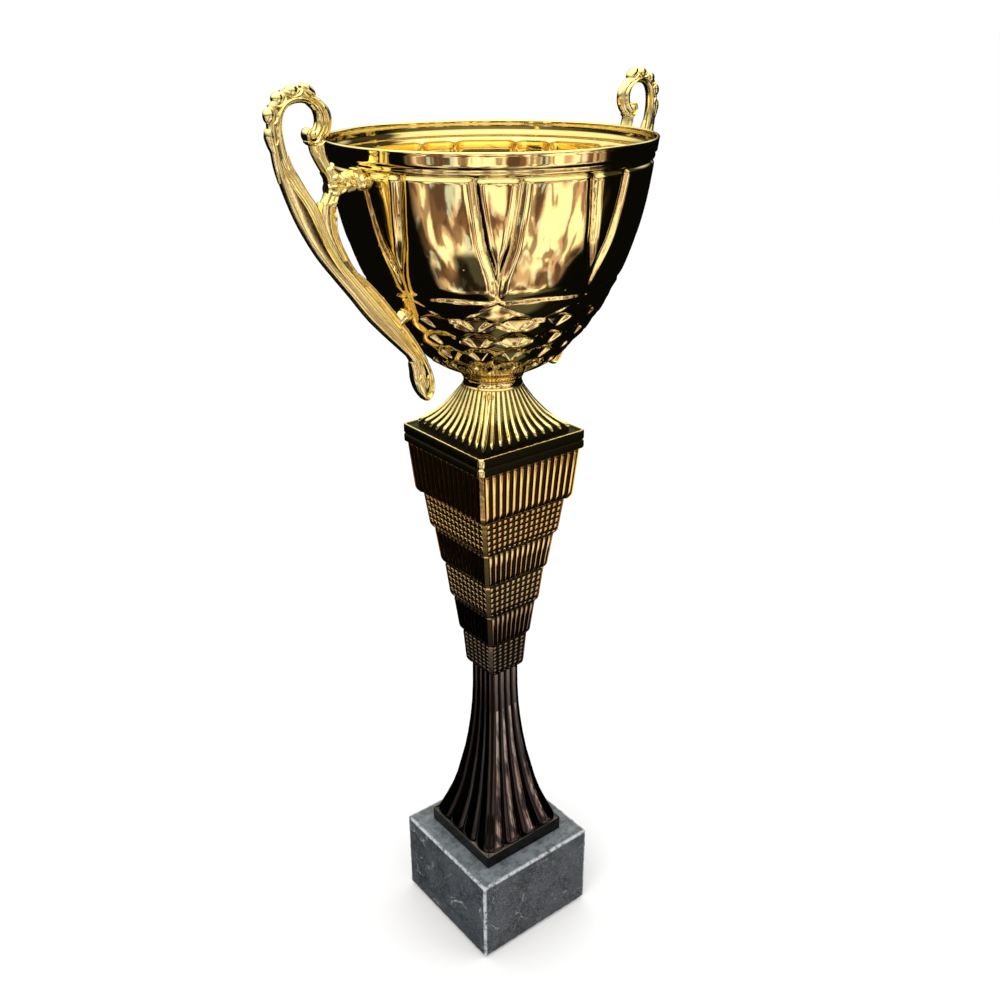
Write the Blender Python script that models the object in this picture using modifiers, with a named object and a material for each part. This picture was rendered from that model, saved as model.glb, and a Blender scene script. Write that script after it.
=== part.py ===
"""A two-handled cup trophy on a square stone block, modelled as it comes apart on a bench.

A marble base carries a square fluted foot, six stepped tiers, a square collar, a neck ring and a
thin sheet cup. One threaded rod runs up the axis and clamps them all, with a nut and washer in a
recess under the marble and another pair on the floor of the cup. Each cast handle stands on two
pads against the cup, and two screws from inside the cup hold it.

Metres, +Z up. The origin is the centre of the underside. The handles lie along X, a
few degrees round from it.
"""

import bmesh
import bpy
import numpy as np
from math import atan2, cos, degrees, pi, radians, sin, sqrt
from mathutils import Matrix, Vector

MM = 0.001
GAP = 0.3 * MM

# Base
BASE_SIDE = 82 * MM
BASE_TOP = 57 * MM
BASE_BEVEL = 1.6 * MM
PAD_THICKNESS = 1.5 * MM
PAD_RADIUS = 6 * MM
PAD_INSET = 13 * MM
RECESS_RADIUS = 12 * MM
RECESS_DEPTH = 18 * MM
ROD_BORE = 4 * MM

# Foot: the plinth, then a concave flare up to the waist
PLINTH_HALF = 29.2 * MM
PLINTH_TOP = 66 * MM
WAIST_HALF = 10.9 * MM
WAIST_TOP = 180 * MM
FLARE_CURVE = 2.6
FOOT_CHAMFER = 1.2 * MM
FOOT_STEPS = 9
FOOT_STEP_SPREAD = 1.35  # above 1, sections crowd towards the plinth, where the flare bends most
WALL = 1.6 * MM

# Stepped tiers, from the waist up: bottom and top half width of each
TIER_BOTTOM = 180 * MM
TIER_HEIGHT = 22 * MM
TOP_TIER_HEIGHT = 30 * MM
TIER_HALVES = [(12.6, 14.0), (15.2, 17.4), (18.7, 20.8), (22.0, 24.5), (26.0, 28.5), (31.5, 34.0)]
TIER_CHAMFER = 2.4 * MM

# Collar
COLLAR_HALF = 35.5 * MM
COLLAR_BOTTOM = 320 * MM
COLLAR_LIP_TOP = 330 * MM
COLLAR_TOP = 355 * MM
COLLAR_FLARE_HALF = 29 * MM
COLLAR_FLARE_FALL = 2.2  # above 1, the flare is hollow: steep at the neck and shallow at the lip
COLLAR_FLARE_STEPS = 7
COLLAR_LIP_BEVEL = 1.8 * MM
COLLAR_WALL = 6 * MM
NECK_RADIUS = 15.6 * MM
NECK_TOP = 360 * MM

# Cup: outer profile, then a thin wall inside it
RIM_TOP = 480 * MM
RIM_RADIUS = 80 * MM
CUP_WALL = 1.2 * MM
CUP_FLOOR_RADIUS = 16.2 * MM
CUP_FLOOR_THICKNESS = 1.8 * MM
CUP_PROFILE = [
    (480.0, 80.0), (472.0, 79.0), (462.0, 77.6), (450.0, 75.8), (437.0, 72.7), (425.0, 68.5),
    (415.0, 64.5), (405.0, 60.5), (396.0, 54.2), (388.0, 48.6), (380.0, 41.4), (373.0, 35.4),
    (368.0, 28.0), (364.0, 19.9), (361.0, 17.0),
]
CUP_STEPS = 72

# Rod and its hardware, an M6 thread
ROD_RADIUS = 3 * MM
NUT_FLATS = 10 * MM
NUT_HEIGHT = 5 * MM
WASHER_RADIUS = 9 * MM
WASHER_THICKNESS = 1.6 * MM

# Handles: points are (distance from the cup's axis, height) in the handle's own plane
HANDLE_TURN = radians(4.6)  # the cup sits turned this far on the square stem, anticlockwise from above
HANDLE_THICKNESS = 7 * MM
HANDLE_OUTER = [
    (47.5, 356.6), (51.6, 361.0), (53.4, 369.4), (55.1, 379.5), (70.6, 394.5), (87.3, 415.1),
    (103.5, 434.8), (114.4, 455.7), (120.4, 474.3), (124.3, 486.5), (123.6, 496.5), (118.2, 504.4),
    (109.6, 507.8), (101.2, 506.0), (94.4, 500.0), (91.4, 491.5), (93.8, 484.6), (95.0, 479.2),
    (92.4, 473.4), (88.0, 469.8), (83.6, 468.4),
]
HANDLE_INNER = [
    (83.6, 458.6), (90.4, 458.0), (93.6, 452.0), (91.0, 441.4), (82.9, 428.8), (69.5, 411.7),
    (59.8, 398.8), (52.6, 389.0), (46.6, 379.8), (42.0, 369.0), (40.9, 362.0), (43.0, 357.6),
]
HANDLE_EYE = [
    (105.8, 485.6), (105.6, 490.6), (100.2, 491.6), (100.4, 496.0), (106.9, 499.0), (112.8, 497.0),
    (115.5, 491.0), (114.8, 481.4), (111.2, 472.2), (105.6, 462.9), (100.4, 457.4), (96.4, 460.8),
    (96.2, 467.4), (100.6, 474.2), (104.4, 480.4),
]
UPPER_PAD_HEIGHT = 463.5 * MM
LOWER_PAD_HEIGHT = 401 * MM
UPPER_PAD_RADIUS = 4.2 * MM
LOWER_PAD_RADIUS = 3.6 * MM
UPPER_PAD_REACH = 8.5 * MM
LOWER_PAD_REACH = 9.5 * MM
PAD_SINK = -2.0 * MM  # a pad starts below the wall's tangent plane, and the cup's round wall trims it
SCREW_RADIUS = 1.5 * MM
SCREW_HEAD_RADIUS = 3.0 * MM
SCREW_HEAD_HEIGHT = 1.9 * MM
SCREW_WASHER_RADIUS = 4.0 * MM
SCREW_WASHER_THICKNESS = 0.8 * MM
SCREW_GRIP = 8 * MM

FINISHES = {
    "gold_plate": ((0.95, 0.74, 0.26, 1.0), 0.06, 1.0),
    "bronze_ombre": ((0.42, 0.27, 0.13, 1.0), 0.2, 1.0),
    "black_chrome": ((0.07, 0.065, 0.07, 1.0), 0.12, 1.0),
    "grey_marble": ((0.13, 0.14, 0.155, 1.0), 0.35, 0.0),
    "grey_felt": ((0.09, 0.09, 0.09, 1.0), 0.95, 0.0),
    "zinc_steel": ((0.62, 0.63, 0.65, 1.0), 0.3, 1.0),
}


def clear_scene():
    for obj in list(bpy.data.objects):
        bpy.data.objects.remove(obj, do_unlink=True)


def new_collection(name):
    collection = bpy.data.collections.new(name)
    bpy.context.scene.collection.children.link(collection)
    return collection


def make_finish(name):
    colour, roughness, metallic = FINISHES[name]
    material = bpy.data.materials.new(name)
    material.use_nodes = True
    shader = material.node_tree.nodes["Principled BSDF"]
    shader.inputs["Base Color"].default_value = colour
    shader.inputs["Roughness"].default_value = roughness
    shader.inputs["Metallic"].default_value = metallic
    material.diffuse_color = colour
    return material


def add_object(name, mesh, finish=None):
    """Links a mesh as a part in its own finish, or as a hidden cutter when it has none."""
    obj = bpy.data.objects.new(name, mesh)
    if finish:
        parts.objects.link(obj)
        mesh.materials.clear()
        mesh.materials.append(make_finish(finish))
    else:
        cutters.objects.link(obj)
        obj.hide_render = True
        obj.display_type = "WIRE"
    return obj


def mesh_from_bmesh(name, bm):
    mesh = bpy.data.meshes.new(name)
    bm.normal_update()
    bm.to_mesh(mesh)
    bm.free()
    return mesh


def box(name, low, high, finish=None):
    bm = bmesh.new()
    bmesh.ops.create_cube(bm, size=1.0)
    low, high = Vector(low), Vector(high)
    bmesh.ops.transform(bm, verts=bm.verts, matrix=Matrix.LocRotScale((low + high) / 2, None, high - low))
    return add_object(name, mesh_from_bmesh(name, bm), finish)


def rod(name, radius, bottom, top, place=Matrix(), segments=32, finish=None):
    """A cylinder along the place's own Z, from bottom to top."""
    bm = bmesh.new()
    middle = Matrix.Translation((0, 0, (bottom + top) / 2))
    bmesh.ops.create_cone(
        bm, cap_ends=True, segments=segments, radius1=radius, radius2=radius,
        depth=top - bottom, matrix=place @ middle,
    )
    mesh = mesh_from_bmesh(name, bm)
    if finish and segments > 8:
        mesh.shade_smooth()
        mesh.set_sharp_from_angle(angle=radians(40))
    return add_object(name, mesh, finish)


def cut(obj, cutter, operation="DIFFERENCE"):
    modifier = obj.modifiers.new(cutter.name, "BOOLEAN")
    modifier.operation = operation
    modifier.solver = "EXACT"
    modifier.object = cutter


def square_section(half, chamfer, height):
    """Eight corners of a square with its corners cut off, counted round from the +X side."""
    near = half - chamfer
    flat = [(half, -near), (half, near), (near, half), (-near, half)]
    flat += [(-x, -y) for x, y in flat]
    return [Vector((x, y, height)) for x, y in flat]


def loft(name, sections, finish=None):
    """Skins closed sections that have the same count of points, and caps both ends."""
    bm = bmesh.new()
    rings = [[bm.verts.new(point) for point in section] for section in sections]
    count = len(rings[0])
    for below, above in zip(rings, rings[1:]):
        for i in range(count):
            j = (i + 1) % count
            bm.faces.new((below[i], below[j], above[j], above[i]))
    bm.faces.new(list(reversed(rings[0])))
    bm.faces.new(rings[-1])
    return add_object(name, mesh_from_bmesh(name, bm), finish)


def turned(name, profile, steps, finish=None):
    """Screws a closed (radius, height) profile round Z. Its outer side runs top to bottom."""
    bm = bmesh.new()
    points = [bm.verts.new((radius, 0, height)) for radius, height in profile]
    for start, end in zip(points, points[1:] + points[:1]):
        bm.edges.new((start, end))
    mesh = bpy.data.meshes.new(name)
    bm.to_mesh(mesh)
    bm.free()
    obj = add_object(name, mesh, finish)
    screw = obj.modifiers.new("Turn", "SCREW")
    screw.steps = steps
    screw.render_steps = steps
    screw.use_merge_vertices = True
    screw.merge_threshold = 0.00001
    screw.use_smooth_shade = True
    return obj


def flare_half(height):
    """Half width of the foot: it narrows from the plinth to the waist on a power curve."""
    rise = (WAIST_TOP - height) / (WAIST_TOP - PLINTH_TOP)
    return WAIST_HALF + (PLINTH_HALF - WAIST_HALF) * rise ** FLARE_CURVE


def cup_radius(height):
    """Outer radius of the cup at a height."""
    heights = [z * MM for z, _ in reversed(CUP_PROFILE)]
    radii = [r * MM for _, r in reversed(CUP_PROFILE)]
    return float(np.interp(height, heights, radii))


def cup_slope(height):
    """Angle of the cup's outward normal below the horizontal."""
    step = 3 * MM
    return atan2(cup_radius(height + step) - cup_radius(height - step), 2 * step)


def build_base():
    low = PAD_THICKNESS + GAP
    half = BASE_SIDE / 2
    base = box("marble_base", (-half, -half, low), (half, half, BASE_TOP), "grey_marble")
    bevel = base.modifiers.new("Worn edges", "BEVEL")
    bevel.width = BASE_BEVEL
    bevel.segments = 2
    cut(base, rod("rod_bore_cutter", ROD_BORE, 0, BASE_TOP + 5 * MM))
    cut(base, rod("recess_cutter", RECESS_RADIUS, 0, low + RECESS_DEPTH))
    place = half - PAD_INSET
    for name, x, y in (("front_left", -1, -1), ("front_right", 1, -1), ("back_left", -1, 1), ("back_right", 1, 1)):
        spot = Matrix.Translation((x * place, y * place, 0))
        rod("felt_pad_" + name, PAD_RADIUS, 0, PAD_THICKNESS, spot, 24, "grey_felt")


def build_foot():
    bottom = BASE_TOP + GAP
    top = WAIST_TOP - GAP
    start = PLINTH_TOP + 0.4 * MM
    levels = [start + (top - start) * (i / FOOT_STEPS) ** FOOT_STEP_SPREAD for i in range(FOOT_STEPS + 1)]
    inner = [(h, flare_half(h) - WALL) for h in levels]
    sections = [square_section(PLINTH_HALF, FOOT_CHAMFER, h) for h in (bottom, PLINTH_TOP)]
    sections += [square_section(flare_half(h) - 0.5 * MM, FOOT_CHAMFER, h) for h in levels]
    foot = loft("stem_foot", sections, "black_chrome")
    hollow = [square_section(PLINTH_HALF - WALL, FOOT_CHAMFER, bottom - 2 * MM)]
    hollow += [square_section(half, FOOT_CHAMFER * 0.7, h) for h, half in inner[:-1]]
    hollow.append(square_section(inner[-1][1], FOOT_CHAMFER * 0.7, top + 2 * MM))
    cut(foot, loft("foot_hollow_cutter", hollow))


def tier_levels():
    """(bottom, top, bottom half width, top half width) of each tier, from the waist up."""
    found = []
    bottom = TIER_BOTTOM
    for i, (low, high) in enumerate(TIER_HALVES):
        height = TOP_TIER_HEIGHT if i == len(TIER_HALVES) - 1 else TIER_HEIGHT
        found.append((bottom, bottom + height, low * MM, high * MM))
        bottom += height
    return found


def build_tiers():
    step = 0.5 * MM
    tiers = tier_levels()
    sections = []
    hollow = [square_section(TIER_HALVES[0][0] * MM - WALL - 1.5 * MM, 1 * MM, TIER_BOTTOM - 2 * MM)]
    for bottom, top, low, high in tiers:
        first = bottom if sections else bottom + GAP
        sections.append(square_section(low, TIER_CHAMFER * low / high, first))
        sections.append(square_section(high, TIER_CHAMFER, top - (GAP if top == tiers[-1][1] else step)))
        if top != tiers[-1][1]:
            hollow.append(square_section(high - WALL - 1.2 * MM, 1 * MM, top - step))
    hollow.append(square_section(TIER_HALVES[-1][1] * MM - WALL - 1.2 * MM, 1 * MM, COLLAR_BOTTOM + 2 * MM))
    stem = loft("stem_tiers", sections, "bronze_ombre")
    cut(stem, loft("tier_hollow_cutter", hollow))


def superellipse_section(half_diagonal, half, height, count):
    """A ring between a circle and a square: its corner reaches half_diagonal, its side half."""
    ring = []
    for i in range(count):
        angle = 2 * pi * (i + 0.5) / count
        square = half / max(abs(cos(angle)), abs(sin(angle)))
        ring.append(min(square, half_diagonal) * Vector((cos(angle), sin(angle), 0)) + Vector((0, 0, height)))
    return ring


def build_collar():
    bottom = COLLAR_BOTTOM + GAP
    half = COLLAR_HALF
    collar = box("collar", (-half, -half, bottom), (half, half, COLLAR_LIP_TOP), "gold_plate")
    bevel = collar.modifiers.new("Lip", "BEVEL")
    bevel.width = COLLAR_LIP_BEVEL
    bevel.segments = 2
    count = 48
    sections = [superellipse_section(1, COLLAR_FLARE_HALF + 2 * MM, COLLAR_LIP_TOP - 3 * MM, count)]
    for i in range(COLLAR_FLARE_STEPS + 1):
        rise = i / COLLAR_FLARE_STEPS
        height = COLLAR_LIP_TOP + (COLLAR_TOP - COLLAR_LIP_TOP - 1 * MM) * rise
        spread = (1 - rise) ** COLLAR_FLARE_FALL
        side = NECK_RADIUS + (COLLAR_FLARE_HALF - NECK_RADIUS) * spread
        corner = NECK_RADIUS + (COLLAR_FLARE_HALF * sqrt(2) - NECK_RADIUS) * spread
        sections.append(superellipse_section(corner, side, height, count))
    sections.append([Vector((p.x, p.y, COLLAR_TOP - GAP)) for p in sections[-1]])
    cut(collar, loft("collar_flare", sections), "UNION")
    cut(collar, rod("collar_bore_cutter", ROD_BORE, bottom - 5 * MM, COLLAR_TOP + 5 * MM))
    hollow_half = COLLAR_HALF - COLLAR_WALL
    hollow = [square_section(hollow_half, 1 * MM, bottom - 2 * MM), square_section(hollow_half, 1 * MM, bottom + 5 * MM)]
    hollow.append(square_section(NECK_RADIUS - 4 * MM, 1 * MM, bottom + 14 * MM))
    cut(collar, loft("collar_hollow_cutter", hollow))
    outer, inner = NECK_RADIUS, ROD_BORE
    low, high = COLLAR_TOP, NECK_TOP
    turned("neck_ring", [(outer, high), (outer, low), (inner, low), (inner, high)], 48, "gold_plate")


def build_cup():
    """The wall's inner side follows the outer one at the wall's thickness, measured square to it."""
    outer = [(r * MM, z * MM) for z, r in CUP_PROFILE]
    floor = NECK_TOP + GAP
    outer.append((CUP_FLOOR_RADIUS, floor))
    inner = []
    for radius, height in outer[:-1]:
        slope = cup_slope(height) if height < RIM_TOP else 0.1
        inner.append((radius - CUP_WALL * cos(slope), height + CUP_WALL * sin(slope)))
    inner[0] = (RIM_RADIUS - CUP_WALL, RIM_TOP)
    inner[-1] = (CUP_FLOOR_RADIUS - 1 * MM, floor + CUP_FLOOR_THICKNESS)
    profile = outer + [(ROD_BORE, floor), (ROD_BORE, floor + CUP_FLOOR_THICKNESS)] + inner[::-1]
    cup = turned("cup_bowl", profile, CUP_STEPS, "gold_plate")
    for side in (1, -1):
        for height in (UPPER_PAD_HEIGHT, LOWER_PAD_HEIGHT):
            place = screw_place(side, height)
            label = "screw_hole_cutter_" + ("right" if side > 0 else "left") + ("_upper" if height == UPPER_PAD_HEIGHT else "_lower")
            cut(cup, rod(label, SCREW_RADIUS + 0.2 * MM, -6 * MM, 6 * MM, place, 12))


def screw_place(side, height):
    """Frame on the cup's outer wall where a screw passes, with Z pointing out of the cup."""
    slope = cup_slope(height)
    outward = Vector((side * cos(slope), 0, -sin(slope)))
    across = Vector((0, 1, 0))
    place = Matrix((across.cross(outward), across, outward)).transposed().to_4x4()
    place.translation = (side * cup_radius(height), 0, height)
    return Matrix.Rotation(HANDLE_TURN, 4, "Z") @ place


def plate(name, outline, hole, side):
    """A flat outline in the XZ plane with a hole, as thick as a handle, made a closed mesh."""
    curve = bpy.data.curves.new(name + "_outline", "CURVE")
    curve.dimensions = "2D"
    curve.fill_mode = "BOTH"
    curve.extrude = HANDLE_THICKNESS / 2 - 1.0 * MM
    curve.bevel_depth = 1.0 * MM
    curve.bevel_resolution = 1
    curve.offset = -1.0 * MM
    for points in (outline, hole):
        spline = curve.splines.new("POLY")
        spline.points.add(len(points) - 1)
        for point, (x, z) in zip(spline.points, points):
            point.co = (side * x * MM, z * MM, 0, 1)
        spline.use_cyclic_u = True
    guide = bpy.data.objects.new(name + "_guide", curve)
    guide.rotation_euler = (pi / 2, 0, 0)
    parts.objects.link(guide)
    bpy.context.view_layer.update()
    graph = bpy.context.evaluated_depsgraph_get()
    mesh = bpy.data.meshes.new_from_object(guide.evaluated_get(graph))
    place = guide.matrix_world.copy()
    bpy.data.objects.remove(guide, do_unlink=True)
    bm = bmesh.new()
    bm.from_mesh(mesh)
    bmesh.ops.remove_doubles(bm, verts=bm.verts, dist=0.000005)
    bmesh.ops.recalc_face_normals(bm, faces=bm.faces)
    bm.to_mesh(mesh)
    bm.free()
    return mesh, place


def build_handle(label, side):
    mesh, place = plate("handle_" + label, HANDLE_OUTER + HANDLE_INNER, HANDLE_EYE, side)
    handle = add_object("handle_" + label, mesh, "gold_plate")
    handle.matrix_world = Matrix.Rotation(HANDLE_TURN, 4, "Z") @ place
    reach = {UPPER_PAD_HEIGHT: UPPER_PAD_REACH, LOWER_PAD_HEIGHT: LOWER_PAD_REACH}
    radius = {UPPER_PAD_HEIGHT: UPPER_PAD_RADIUS, LOWER_PAD_HEIGHT: LOWER_PAD_RADIUS}
    for height, level in ((UPPER_PAD_HEIGHT, "upper"), (LOWER_PAD_HEIGHT, "lower")):
        spot = screw_place(side, height)
        name = f"{label}_{level}"
        cut(handle, rod("pad_" + name, radius[height], PAD_SINK, reach[height], spot, 20), "UNION")
    clear_cup(handle, label)
    for height, level in ((UPPER_PAD_HEIGHT, "upper"), (LOWER_PAD_HEIGHT, "lower")):
        spot = screw_place(side, height)
        bore = rod(f"screw_bore_cutter_{label}_{level}", SCREW_RADIUS + 0.1 * MM, -4 * MM, SCREW_GRIP + 0.5 * MM, spot, 12)
        cut(handle, bore)
        build_screw(f"{label}_{level}", spot)


def clear_cup(handle, label):
    """Takes away whatever of the handle lies inside the cup's outer wall and its gap."""
    rim = [(0.0, RIM_TOP + 4 * MM), (RIM_RADIUS + GAP, RIM_TOP + 4 * MM)]
    wall = [(r * MM + GAP, z * MM) for z, r in CUP_PROFILE]
    profile = rim[1:] + wall + [(0.0, CUP_PROFILE[-1][0] * MM), rim[0]]
    cut(handle, turned("cup_clearance_cutter_" + label, profile, CUP_STEPS))


def build_screw(name, spot):
    """A pan-head screw from inside the cup, and its washer, lying on the inner wall."""
    washer_low = -CUP_WALL - GAP - SCREW_WASHER_THICKNESS - 0.25 * MM
    washer_high = washer_low + SCREW_WASHER_THICKNESS
    washer = rod("screw_washer_" + name, SCREW_WASHER_RADIUS, washer_low, washer_high, spot, 24, "zinc_steel")
    hole = SCREW_RADIUS + 0.25 * MM
    cut(washer, rod("screw_washer_cutter_" + name, hole, washer_low - 1 * MM, washer_high + 1 * MM, spot, 16))
    head_high = washer_low - 0.15 * MM
    head_low = head_high - SCREW_HEAD_HEIGHT
    head = rod("handle_screw_" + name, SCREW_HEAD_RADIUS, head_low, head_high, spot, 20, "zinc_steel")
    cut(head, rod("screw_shank_" + name, SCREW_RADIUS, head_high - 0.4 * MM, SCREW_GRIP, spot, 12), "UNION")
    for turn in (0, pi / 2):
        slot = box(f"slot_cutter_{name}_{round(degrees(turn))}", (-1.7 * MM, -0.35 * MM, head_low - 1 * MM),
                   (1.7 * MM, 0.35 * MM, head_low + 0.9 * MM))
        slot.matrix_world = spot @ Matrix.Rotation(turn, 4, "Z")
        cut(head, slot)


def build_clamp():
    """The rod, and at each end a nut on a washer."""
    seat_low = PAD_THICKNESS + GAP + RECESS_DEPTH
    seat_high = NECK_TOP + GAP + 1.8 * MM
    ends = (
        ("base", seat_low - GAP - WASHER_THICKNESS, seat_low - 2 * GAP - WASHER_THICKNESS - NUT_HEIGHT),
        ("cup", seat_high + GAP, seat_high + 2 * GAP + WASHER_THICKNESS),
    )
    for label, washer_low, nut_low in ends:
        washer_high = washer_low + WASHER_THICKNESS
        washer = rod(f"{label}_washer", WASHER_RADIUS, washer_low, washer_high, finish="zinc_steel")
        cut(washer, rod(f"{label}_washer_cutter", ROD_RADIUS + 0.3 * MM, washer_low - 1 * MM, washer_high + 1 * MM))
        nut = rod(f"{label}_nut", NUT_FLATS / sqrt(3), nut_low, nut_low + NUT_HEIGHT, segments=6, finish="zinc_steel")
        cut(nut, rod(f"{label}_nut_cutter", ROD_RADIUS + GAP, nut_low - 1 * MM, nut_low + NUT_HEIGHT + 1 * MM))
    rod_low = seat_low - 2 * GAP - WASHER_THICKNESS - NUT_HEIGHT - 3 * MM
    rod_high = seat_high + 2 * GAP + WASHER_THICKNESS + NUT_HEIGHT + 3 * MM
    rod("threaded_rod", ROD_RADIUS, rod_low, rod_high, finish="zinc_steel")


def build_trophy():
    build_base()
    build_foot()
    build_tiers()
    build_collar()
    build_cup()
    build_clamp()
    build_handle("left", -1)
    build_handle("right", 1)


clear_scene()
parts = new_collection("cup_trophy")
cutters = new_collection("cutters")
build_trophy()
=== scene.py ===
"""A gold cup trophy with two cast handles, on a fluted ombre stem and a square marble base.

Each operator makes one piece, or one group of like pieces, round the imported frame. Lengths in
the tables are millimetres, +Z is up, and the trophy stands on the origin with its handles along X.
"""

from math import cos, pi, radians, sin

import bmesh
import bpy
import numpy as np
from mathutils import Matrix, Vector


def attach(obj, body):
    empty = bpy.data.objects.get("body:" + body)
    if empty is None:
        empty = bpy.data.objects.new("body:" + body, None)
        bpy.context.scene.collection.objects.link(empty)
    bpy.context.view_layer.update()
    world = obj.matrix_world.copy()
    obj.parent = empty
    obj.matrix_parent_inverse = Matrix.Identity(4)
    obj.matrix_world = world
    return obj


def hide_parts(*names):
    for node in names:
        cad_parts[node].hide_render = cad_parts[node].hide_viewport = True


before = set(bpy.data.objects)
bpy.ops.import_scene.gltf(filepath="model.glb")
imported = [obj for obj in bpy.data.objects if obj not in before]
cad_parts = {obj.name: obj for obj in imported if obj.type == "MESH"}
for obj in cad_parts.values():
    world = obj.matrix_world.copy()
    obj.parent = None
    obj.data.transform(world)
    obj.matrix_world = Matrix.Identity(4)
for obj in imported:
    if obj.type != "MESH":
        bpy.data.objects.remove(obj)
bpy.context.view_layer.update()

bl_info = {
    "name": "Cup Trophy",
    "version": (1, 0, 0),
    "blender": (4, 5, 0),
    "location": "View3D > Sidebar > Trophy",
    "description": "Builds a two-handled cup trophy on a square marble base",
    "category": "Add Mesh",
}

MM = 0.001
WELD_DISTANCE = 0.02 * MM


# ---------------------------------------------------------------- surfaces

def grid_faces(rows, columns, loop_rows=False, loop_columns=True):
    """Quads of a rows by columns grid. They face outward when the columns run anticlockwise
    and the rows run up."""
    r = np.arange(rows if loop_rows else rows - 1)[:, None]
    c = np.arange(columns if loop_columns else columns - 1)[None, :]
    up, on = (r + 1) % rows, (c + 1) % columns
    corners = (r * columns + c, r * columns + on, up * columns + on, up * columns + c)
    return np.stack(np.broadcast_arrays(*corners), -1).reshape(-1, 4)


def tube_shell(rings):
    """Closes a (rows, columns, 3) stack of rings with a fan of triangles at each end."""
    rows, columns = rings.shape[:2]
    points = np.concatenate([rings.reshape(-1, 3), rings[:1].mean(1), rings[-1:].mean(1)])
    c = np.arange(columns)
    on = (c + 1) % columns
    low, high = rows * columns, rows * columns + 1
    last = (rows - 1) * columns
    start = np.stack([on, c, np.full(columns, low)], -1)
    end = np.stack([last + c, last + on, np.full(columns, high)], -1)
    return points, grid_faces(rows, columns), np.concatenate([start, end])


def ring_shell(rings):
    """Closes a (rows, columns, 3) stack of rings on itself, as the skin of a hoop."""
    rows, columns = rings.shape[:2]
    return rings.reshape(-1, 3), grid_faces(rows, columns, loop_rows=True), np.zeros((0, 3), int)


def outward(shell):
    """Turns a shell's faces over when the volume they enclose comes out negative."""
    points, quads, tris = shell
    faces = np.concatenate([quads[:, [0, 1, 2]], quads[:, [0, 2, 3]], tris])
    a, b, c = (points[faces[:, i]] for i in range(3))
    if np.einsum("ij,ij->i", a, np.cross(b, c)).sum() < 0:
        quads, tris = quads[:, ::-1], tris[:, ::-1]
    return points, quads, tris


def make_piece(name, shells, material, replaces=(), recess=None, crease=None):
    """Joins closed shells into one mesh, in metres. recess is 0 to 1 at each point: how deep it
    lies in a groove. Edges sharper than crease, in degrees, are shaded hard."""
    shells = [outward(shell) for shell in shells]
    starts = np.cumsum([0] + [len(shell[0]) for shell in shells[:-1]])
    points = np.concatenate([shell[0] for shell in shells]) * MM
    quads = np.concatenate([shell[1] + start for shell, start in zip(shells, starts)])
    tris = np.concatenate([shell[2] + start for shell, start in zip(shells, starts)])
    mesh = bpy.data.meshes.new(name)
    mesh.vertices.add(len(points))
    mesh.vertices.foreach_set("co", points.astype(np.float32).ravel())
    loops = np.concatenate([quads.ravel(), tris.ravel()]).astype(np.int32)
    mesh.loops.add(len(loops))
    mesh.loops.foreach_set("vertex_index", loops)
    sizes = np.concatenate([np.full(len(quads), 4), np.full(len(tris), 3)])
    mesh.polygons.add(len(sizes))
    mesh.polygons.foreach_set("loop_start", np.concatenate([[0], np.cumsum(sizes)[:-1]]).astype(np.int32))
    mesh.update(calc_edges=True)
    mesh.validate()
    mesh.shade_smooth()
    if crease:
        mesh.set_sharp_from_angle(angle=radians(crease))
    if recess is not None:
        attribute = mesh.attributes.new("recess", "FLOAT", "POINT")
        attribute.data.foreach_set("value", np.clip(recess, 0, 1).astype(np.float32))
    mesh.materials.append(material)
    piece = bpy.data.objects.new(name, mesh)
    bpy.context.scene.collection.objects.link(piece)
    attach(piece, "root")
    if replaces:
        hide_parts(*replaces)
    return piece


def smooth(t):
    """0 below 0, 1 above 1, and an even S between."""
    t = np.clip(t, 0, 1)
    return t * t * (3 - 2 * t)


def curve_through(points, count, closed=False):
    """Points at equal steps along a Catmull-Rom curve: each span blends its four neighbours."""
    p = np.asarray(points, float)
    if closed:
        p = np.concatenate([p[-1:], p, p[:2]])
    else:
        p = np.concatenate([2 * p[:1] - p[1:2], p, 2 * p[-1:] - p[-2:-1]])
    t = np.linspace(0, 1, 17)[:-1][None, :, None]
    a, b, c, d = (p[i:len(p) - 3 + i][:, None, :] for i in range(4))
    fine = 0.5 * (2 * b + (c - a) * t + (2 * a - 5 * b + 4 * c - d) * t ** 2 + (3 * b - a - 3 * c + d)
                  * t ** 3)
    fine = np.concatenate([fine.reshape(-1, p.shape[1]), p[-2:-1]])
    length = np.concatenate([[0], np.cumsum(np.linalg.norm(np.diff(fine, axis=0), axis=1))])
    steps = np.linspace(0, length[-1], count + 1 if closed else count)[:count]
    return np.stack([np.interp(steps, length, fine[:, i]) for i in range(p.shape[1])], -1)


def turned_rings(profile, columns):
    """Rings of a (radius, height) profile turned round Z."""
    r, z = np.array(profile, float).T
    angle = 2 * pi * np.arange(columns) / columns
    return np.stack([np.outer(r, np.cos(angle)), np.outer(r, np.sin(angle)), np.outer(z, np.ones(columns))],
                    -1)


def raised(flat, heights):
    """Gives each row of a (rows, columns, 2) outline its height, as rings."""
    return np.concatenate([flat, np.broadcast_to(heights[:, None, None], flat.shape[:2] + (1,))], -1)


def four_sides(x, y):
    """Repeats one side's points, x out from the axis and y along the side, round the other three."""
    sides = []
    for _ in range(4):
        sides += [x, y]
        x, y = -y, x
    return np.stack([np.concatenate(sides[0::2], 1), np.concatenate(sides[1::2], 1)], -1)


# ---------------------------------------------------------------- the cup

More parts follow.
